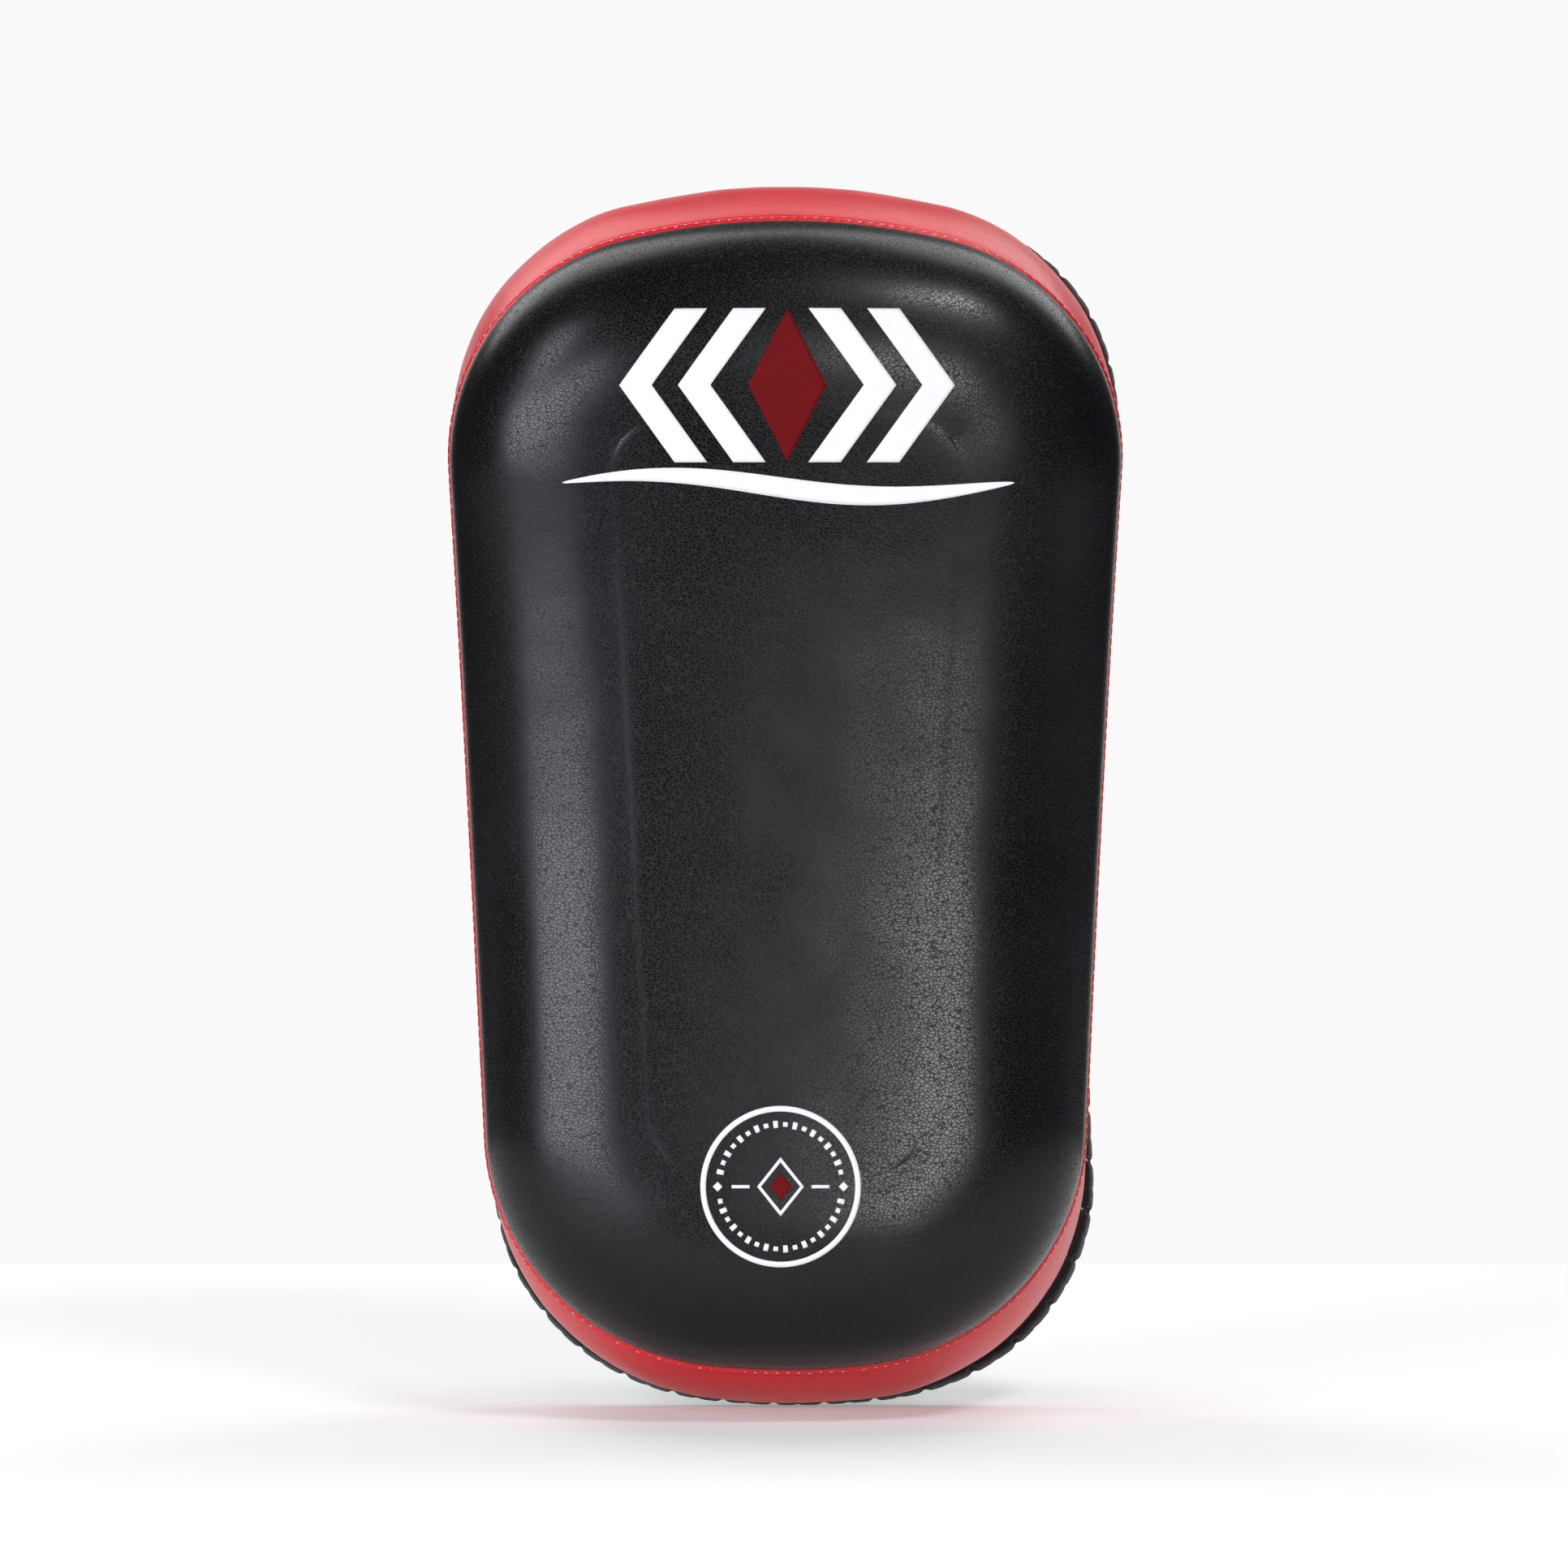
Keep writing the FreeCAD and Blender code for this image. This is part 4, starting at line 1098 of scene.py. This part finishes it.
def forearm_strap(group, number):
    """One forearm strap: anchored strap, ring keeper, peeling flap and its hook and loop."""
    place = Back(STRAP_HEIGHTS[group])
    middle = ARCH + STRAP_THICK / 2
    returned = middle + STRAP_THICK + 2 * TURN
    bar = (ARCH + STRAP_THICK + TURN, BAR_HEIGHT)
    wrap = TURN + STRAP_THICK / 2
    floor = 0.1 * MM + STRAP_THICK / 2
    foot = (-ARCH - 5 * MM, 5.1 * MM)
    over = Route(
        ("line", (-ANCHOR_END, floor), (foot[0], floor)),
        ("arc", foot, 3.5 * MM, -90, 0),
        ("line", (-middle, foot[1]), (-middle, ARCH_RISE)),
        ("arc", (0.0, ARCH_RISE), middle, 180, 0),
        ("line", (middle, ARCH_RISE), (middle, bar[1])),
        ("arc", bar, wrap, 180, 272),
    )
    strip = (place, STRAP_WIDTH, STRAP_THICK, STRAP_LEATHER)
    ribbon(f"{group}_strap_leather", over, *strip, "pad", "strap_leather", f"{group}_strap", seed=number)
    back = Route(
        ("arc", bar, wrap, 268, 360),
        ("line", (returned, bar[1]), (returned, ARCH_RISE)),
        ("arc", (0.0, ARCH_RISE), returned, 0, FLAP_END),
    )

    def on_arch(degrees):
        angle = math.radians(degrees)
        return place(returned * math.cos(angle), ARCH_RISE + returned * math.sin(angle))

    bends = 5  # degrees to each side of the hinge line
    peel = (f"flap_{group}", on_arch(HINGE_ANGLE - bends), on_arch(HINGE_ANGLE + bends))
    ribbon(f"{group}_flap_leather", back, *strip, peel, "strap_leather", f"{group}_flap",
           round_end=12 * MM, seed=number + 5)
    edges = (THREAD_INSET - STRAP_WIDTH / 2, STRAP_WIDTH / 2 - THREAD_INSET)
    tail, on_top = back.length, STRAP_THICK / 2 + 0.02 * MM
    row = [p for z in edges for p in row_along(back, place, 9 * MM, tail - 9 * MM, z, -on_top)]
    row += row_across(back, place, tail - 4.5 * MM, -11 * MM, 11 * MM, -on_top)
    sew(f"{group}_flap_stitching", row, "strap_leather", peel)

    tapes = (  # both lie on the arch between strap and flap, the hooks outside
        ("hook_tape", "hook_patch", peel, HOOKS, middle + STRAP_THICK / 2 + 4.5 * MM, 1.2, 0.05, 7),
        ("loop_fleece", "loop_patch", "pad", FLEECE, ARCH + STRAP_THICK + 1.35 * MM, 0.9, 0.3, 9),
    )
    for slot, node, body, material, radius, spacing, wrinkle, seed in tapes:
        arc = Route(("arc", (0.0, ARCH_RISE), radius, *TAPE_ARC))
        ribbon(f"{group}_{slot}", arc, place, TAPE_WIDTH, TAPE_THICK, material, body, slot,
               f"{group}_{node}", groove=0.5 * MM, groove_at=2 * MM, spacing=spacing * MM,
               wrinkle=wrinkle * MM, seed=number + seed)

    row = [p for z in edges for p in row_along(over, place, 38 * MM, over.length - 42 * MM, z, on_top)]
    sew(f"{group}_strap_stitching", row, "strap_leather")

    outer_bar = (bar[0] + RING_PITCH, bar[1])
    fold = Route(
        ("line", (80.8 * MM, 1.25 * MM), (74.5 * MM, 1.25 * MM)),
        ("line", (74.5 * MM, 1.25 * MM), (outer_bar[0] + 0.8 * MM, 3.1 * MM)),
        ("arc", outer_bar, 3.35 * MM, 270, 48),
        ("line", (outer_bar[0] + 3.0 * MM, 8.2 * MM), (76.3 * MM, 3.35 * MM)),
        ("line", (76.3 * MM, 3.35 * MM), (80.8 * MM, 3.35 * MM)),
        soften=0.8 * MM,
    )
    ribbon(f"{group}_keeper_leather", fold, place, 44 * MM, 1.9 * MM, STRAP_LEATHER, "pad", "strap_leather",
           f"{group}_keeper_tab", groove=0.15 * MM, groove_at=3.5 * MM, spacing=0.6 * MM, seed=number + 11)
    row = []
    for z in (-18.5 * MM, 18.5 * MM):
        row += row_along(fold, place, fold.length - 10.5 * MM, fold.length - 1.2 * MM, z, MM, 3 * MM)
    for back_by in (1.6 * MM, 4.6 * MM):
        row += row_across(fold, place, fold.length - back_by, -16 * MM, 16 * MM, MM, 3.4 * MM)
    sew(f"{group}_keeper_stitching", row, "strap_leather")

    patch(f"{group}_anchor", place, (-ANCHOR_END, -ANCHOR_INNER), ANCHOR_HALF, 3.25 * MM, 5 * MM,
          f"{group}_anchor_patch")


def hand_grip():
    """The padded bar, the strap through it and the two patches that hold it down."""
    place = Back(GRIP_HEIGHT)
    rise = GRIP_STANDOFF
    leg, low, bend, foot = 56.2 * MM, 1.9 * MM, 7.2 * MM, 6.3 * MM
    knee = (62.5 * MM, 8.2 * MM)
    top = (49 * MM, 44.8 * MM)
    path = Route(
        ("line", (-GRIP_END, low), (-knee[0], low)),
        ("arc", (-knee[0], knee[1]), foot, -90, 0),
        ("line", (-leg, knee[1]), (-leg, top[1])),
        ("arc", (-top[0], top[1]), bend, 180, 90),
        ("line", (-top[0], rise), (top[0], rise)),
        ("arc", top, bend, 90, 0),
        ("line", (leg, top[1]), (leg, knee[1])),
        ("arc", knee, foot, 180, 270),
        ("line", (knee[0], low), (GRIP_END, low)),
    )
    ribbon("grip_strap_leather", path, place, 24 * MM, 3.5 * MM, STRAP_LEATHER, "pad", "strap_leather",
           "grip_strap", groove_at=3.4 * MM, seed=21)
    row = []
    sewn = 41 * MM  # of the strap on each side of the bar
    for across in (-8.6 * MM, 8.6 * MM):
        for first in (28 * MM, path.length - 28 * MM - sewn):
            row += row_along(path, place, first, first + sewn, across, 1.72 * MM)
    sew("grip_strap_stitching", row, "strap_leather")

    half, radius = 51.2 * MM, 15.9 * MM
    end_profile = (  # how far in from the end, and the radius, in millimetres
        (0.9, 9.4), (0.0, 9.6), (0.0, 11.0), (0.3, 12.8), (1.0, 14.3), (2.4, 15.2), (4.2, 15.5),
        (5.6, 15.15), (7.4, 15.45),
    )
    end_x = np.array([half - inset * MM for inset, _ in end_profile])
    end_r = [r for _, r in end_profile]
    plain_half = half - 10 * MM
    inner = np.linspace(plain_half, -plain_half, 70)
    swell = 15.55 + 0.35 * np.cos(inner / plain_half * math.pi / 2) ** 0.6
    x = np.concatenate([end_x, inner, -end_x[::-1]])[:, None]
    outline_r = np.concatenate([end_r, swell, end_r[::-1]])[:, None] * MM
    around = 96
    angle = TAU * np.arange(around) / around
    seam_angle = math.radians(118)
    off = np.angle(np.exp(1j * (angle - seam_angle)))
    valley = 0.75 * MM * np.exp(-(off * radius / (1.3 * MM)) ** 2)
    ridge = 0.35 * MM * np.exp(-((off * radius - 3.2 * MM) / (1.8 * MM)) ** 2)
    near_end = smooth((np.abs(x) - (half - 6 * MM)) / (5 * MM))
    gather = 0.35 * MM * np.sin(angle * 17 + 0.6 * np.sin(angle * 3)) * near_end
    long = smooth((half - np.abs(x)) / (6 * MM))

    def round_bar(x, reach, angle):
        return place(x, rise + reach * np.sin(angle), reach * np.cos(angle))

    reach = outline_r + gather + (ridge - valley) * long
    spots = round_bar(x, reach, angle)
    reach = reach + (ripple(spots, 12 * MM, 31) * 0.3 * MM + ripple(spots, 30 * MM, 32) * 0.3 * MM) * long
    sleeve = loft("grip_sleeve_leather", round_bar(x, reach, angle), STRAP_LEATHER, (100 * MM, TAU * radius))
    settle(sleeve, "pad", "grip_leather", "grip_sleeve", "grip_filler")
    row = []
    for x in np.arange(-half + 8 * MM, half - 8 * MM, THREAD_SPACING):
        for turn in (-2.6 * MM / radius, 2.9 * MM / radius):
            a, reach = seam_angle + turn, radius - 0.05 * MM
            spot = round_bar(x, reach, a)
            row.append((spot, round_bar(x + MM, reach, a) - spot, round_bar(x, reach + MM, a) - spot))
    sew("grip_seam_stitching", row, "grip_leather")

    for side, span in (("left", (-GRIP_END, -GRIP_PATCH_INNER)), ("right", (GRIP_PATCH_INNER, GRIP_END))):
        patch(f"grip_{side}_patch", place, span, GRIP_PATCH_HALF, 3.85 * MM, 4 * MM, f"grip_patch_{side}")


def cushion():
    """The bolster under the forearm: a sewn leather pillow, swollen as cloth."""
    across, along = 26, 62
    reach = BEND + BACK
    low, high, half, corner = -149 * MM, 44 * MM, 41.2 * MM, 13 * MM

    def ring(inset, depth):
        bend = max(corner - inset, 2 * MM)
        loop = rounded_loop(half - inset, low + inset, high - inset, bend, across, along)
        return bent(loop[:, 0], loop[:, 1] / reach, BACK + depth)

    profile = [  # (inset, height), in millimetres
        (4, 0.3), (0.8, 0.3), (0.0, 0.7), (0.1, 1.8), (1.2, 2.3), (0.5, 3.6), (0.1, 5.6), (0.3, 7.8),
        (1.2, 9.8), (2.8, 11.4), (5.0, 12.4), (8.0, 12.9),
    ]
    rings = [ring(inset * MM, depth * MM) for inset, depth in profile]
    item, level = pillow("forearm_cushion_leather", rings, across, along,
                         (BACK + 0.3 * MM, 0.0), (BACK + 12.9 * MM, 1.4 * MM), BACK_LEATHER)
    inflate(item, smooth((level - 4) / 4), 2.6 * MM, pressure=6.0, stiffness=8.0)
    subdivide(item, 2)
    spots = coordinates(item.data)
    height = depth_of(spots) - BACK
    loose = smooth((height - 4 * MM) / (5 * MM))
    swell = ripple(spots, 22 * MM, 41) * 0.7 * MM + ripple(spots, 7 * MM, 42) * 0.12 * MM
    spots[:, 1] += np.minimum(swell, 0.5 * MM) * loose
    set_coordinates(item, spots)
    settle(item, "pad", "back_leather", "cushion_cover", "cushion_foam")
    inset, seam = 0.4 * MM, BACK + 2.4 * MM
    middle = -52 * MM
    length, spot = round_loop(rounded_loop(half - inset, low + inset, high - inset, corner, 300, 600))
    row = []
    for s in np.arange(0, length, 4.2 * MM):
        (x, z), (next_x, next_z) = spot(s), spot(s + MM)
        at = bent(x, z / reach, seam)
        out = at - bent(x * 0.9, (middle + (z - middle) * 0.9) / reach, seam)
        row.append((at, bent(next_x, next_z / reach, seam) - at, out))
    sew("forearm_cushion_stitching", row, "back_leather")


# ------------------------------------------------------------------ printed marks

class Ink:
    """Thin shapes laid on the face: places are across and up from the middle of the pad."""

    def __init__(self, cover):
        graph = bpy.context.evaluated_depsgraph_get()
        self.tree = BVHTree.FromObject(cover, graph)

    def lay(self, name, spots, material, wrap=False):
        """A thin piece over a grid of places, following the cover."""
        rows, cols = spots.shape[:2]
        upper, lower = [], []
        for x, z in spots.reshape(-1, 2):
            hit, normal, _, _ = self.tree.ray_cast(Vector((x, -1.0, z - ORIGIN[2])), Vector((0, 1, 0)))
            if normal.y > 0:
                normal = -normal
            upper.append(hit + normal * 0.10 * MM)
            lower.append(hit - normal * 0.15 * MM)
        settle(make(name, upper + lower, slab(rows, cols, wrap), material), "pad", "face_leather")

    def bar(self, name, corners, material, step=1.2 * MM):
        """A four-sided shape, its corners going round from the lower left."""
        a, b, c, d = (np.array(k, float) * MM for k in corners)
        rows = max(2, int(max(math.dist(a, d), math.dist(b, c)) / step))
        cols = max(2, int(max(math.dist(a, b), math.dist(c, d)) / step))
        s = np.linspace(0, 1, cols)[None, :, None]
        t = np.linspace(0, 1, rows)[:, None, None]
        self.lay(name, (1 - t) * ((1 - s) * a + s * b) + t * ((1 - s) * d + s * c), material)

    def band(self, name, centre, inner, outer, material, first=0.0, last=360.0):
        """A ring, or part of one between two angles."""
        whole = last - first >= 360
        count = max(6, int(math.radians(last - first) * outer / 0.8))
        angle = np.radians(np.linspace(first, last, count, endpoint=not whole))
        radius = np.linspace(inner, outer, 3)[:, None] * MM
        x, z = radius * np.cos(angle), radius * np.sin(angle)
        spots = np.stack([centre[0] * MM + x, centre[1] * MM + z], -1)
        self.lay(name, spots, material, wrap=whole)


def prints(cover):
    """Generic decoration: slanted bars, a tapered sweep and a ring of marks."""
    ink = Ink(cover)
    low, high, middle = 102.0, 149.0, 125.5
    stroke, point = 10.0, 17.0
    height = np.linspace(low, high, 41)[:, None]
    drawn_back = point * np.abs(height - middle) / (middle - low)
    for side, name in ((-1, "left"), (1, "right")):
        for number, tip in enumerate((51.5, 33.5)):
            x = side * (tip - drawn_back - stroke * np.linspace(0, 1, 9))
            chevron = np.stack([x, np.broadcast_to(height, x.shape)], -1) * MM
            ink.lay(f"front_{name}_chevron_{number + 1}", chevron, WHITE_PRINT)
    ink.bar("front_lozenge", ((0.0, low), (12.0, middle), (0.0, high), (-12.0, middle)), RED_PRINT)
    count = 120
    t = np.linspace(0, 1, count)
    rise = 95.0 + 3.2 * np.sin(TAU * (t + 0.05))
    thick = 3.4 * np.sin(math.pi * t) ** 0.7 * (0.75 + 0.25 * t) + 0.15
    x = -69.0 + 139.0 * t
    share = np.linspace(-1, 1, 5)[:, None]
    sweep = np.stack([np.broadcast_to(x, (5, count)), rise + share * thick], -1) * MM
    ink.lay("front_sweep", sweep, WHITE_PRINT)
    x, z = centre = (-2.0, -120.2)
    ink.band("badge_ring", centre, 22.9, 24.6, WHITE_PRINT)
    marks, mark_radius, mark_half = 40, 19.0, 2.2
    for number in range(marks):
        angle = 360 / marks * (number + 0.5)
        if min(abs(angle % 180), 180 - angle % 180) < 13:
            continue
        half = 0.7 if number % 2 else 1.1
        ink.band(f"badge_mark_{number}", centre, mark_radius - half, mark_radius + half, WHITE_PRINT,
                 angle - mark_half, angle + mark_half)
    for name, side in (("left", -1), ("right", 1)):
        dot = x + side * 19.3
        corners = ((dot, z - 1.5), (dot + 1.5, z), (dot, z + 1.5), (dot - 1.5, z))
        ink.bar(f"badge_dot_{name}", corners, WHITE_PRINT, 0.4 * MM)
    for name, side in (("left", -1), ("right", 1)):
        near, far = x + side * 9.5, x + side * 15.0
        corners = ((near, z - 0.5), (far, z - 0.5), (far, z + 0.5), (near, z + 0.5))
        ink.bar(f"badge_line_{name}", corners, WHITE_PRINT, 0.5 * MM)

    def lozenge(wide, tall):
        return (x, z - tall), (x + wide, z), (x, z + tall), (x - wide, z)

    outer, inner = lozenge(7.2, 9.0), lozenge(6.0, 7.4)
    for edge in range(4):
        after = (edge + 1) % 4
        ink.bar(f"badge_edge_{edge + 1}", (outer[edge], outer[after], inner[after], inner[edge]),
                WHITE_PRINT, 0.6 * MM)
    ink.bar("badge_core", lozenge(3.36, 4.2), RED_PRINT, 0.6 * MM)


def dress_frame():
    """Materials for the CAD nodes that stay: metalwork and the foam inside."""
    finishes = {"ring": STEEL, "rivets": STEEL, "washers": STEEL, "foam": GREY_FOAM, "filler": GREY_FOAM}
    for name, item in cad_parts.items():
        for ending, material in finishes.items():
            if name.endswith(ending):
                item.data.materials.clear()
                item.data.materials.append(material)


studio()
dress_frame()
striking = face_cover()
strike_foam()
side_band()
seam_welt()
edge_binding()
back_panel()
cushion()
for order, group in enumerate(STRAP_HEIGHTS):
    forearm_strap(group, 50 + 20 * order)
hand_grip()
prints(striking)
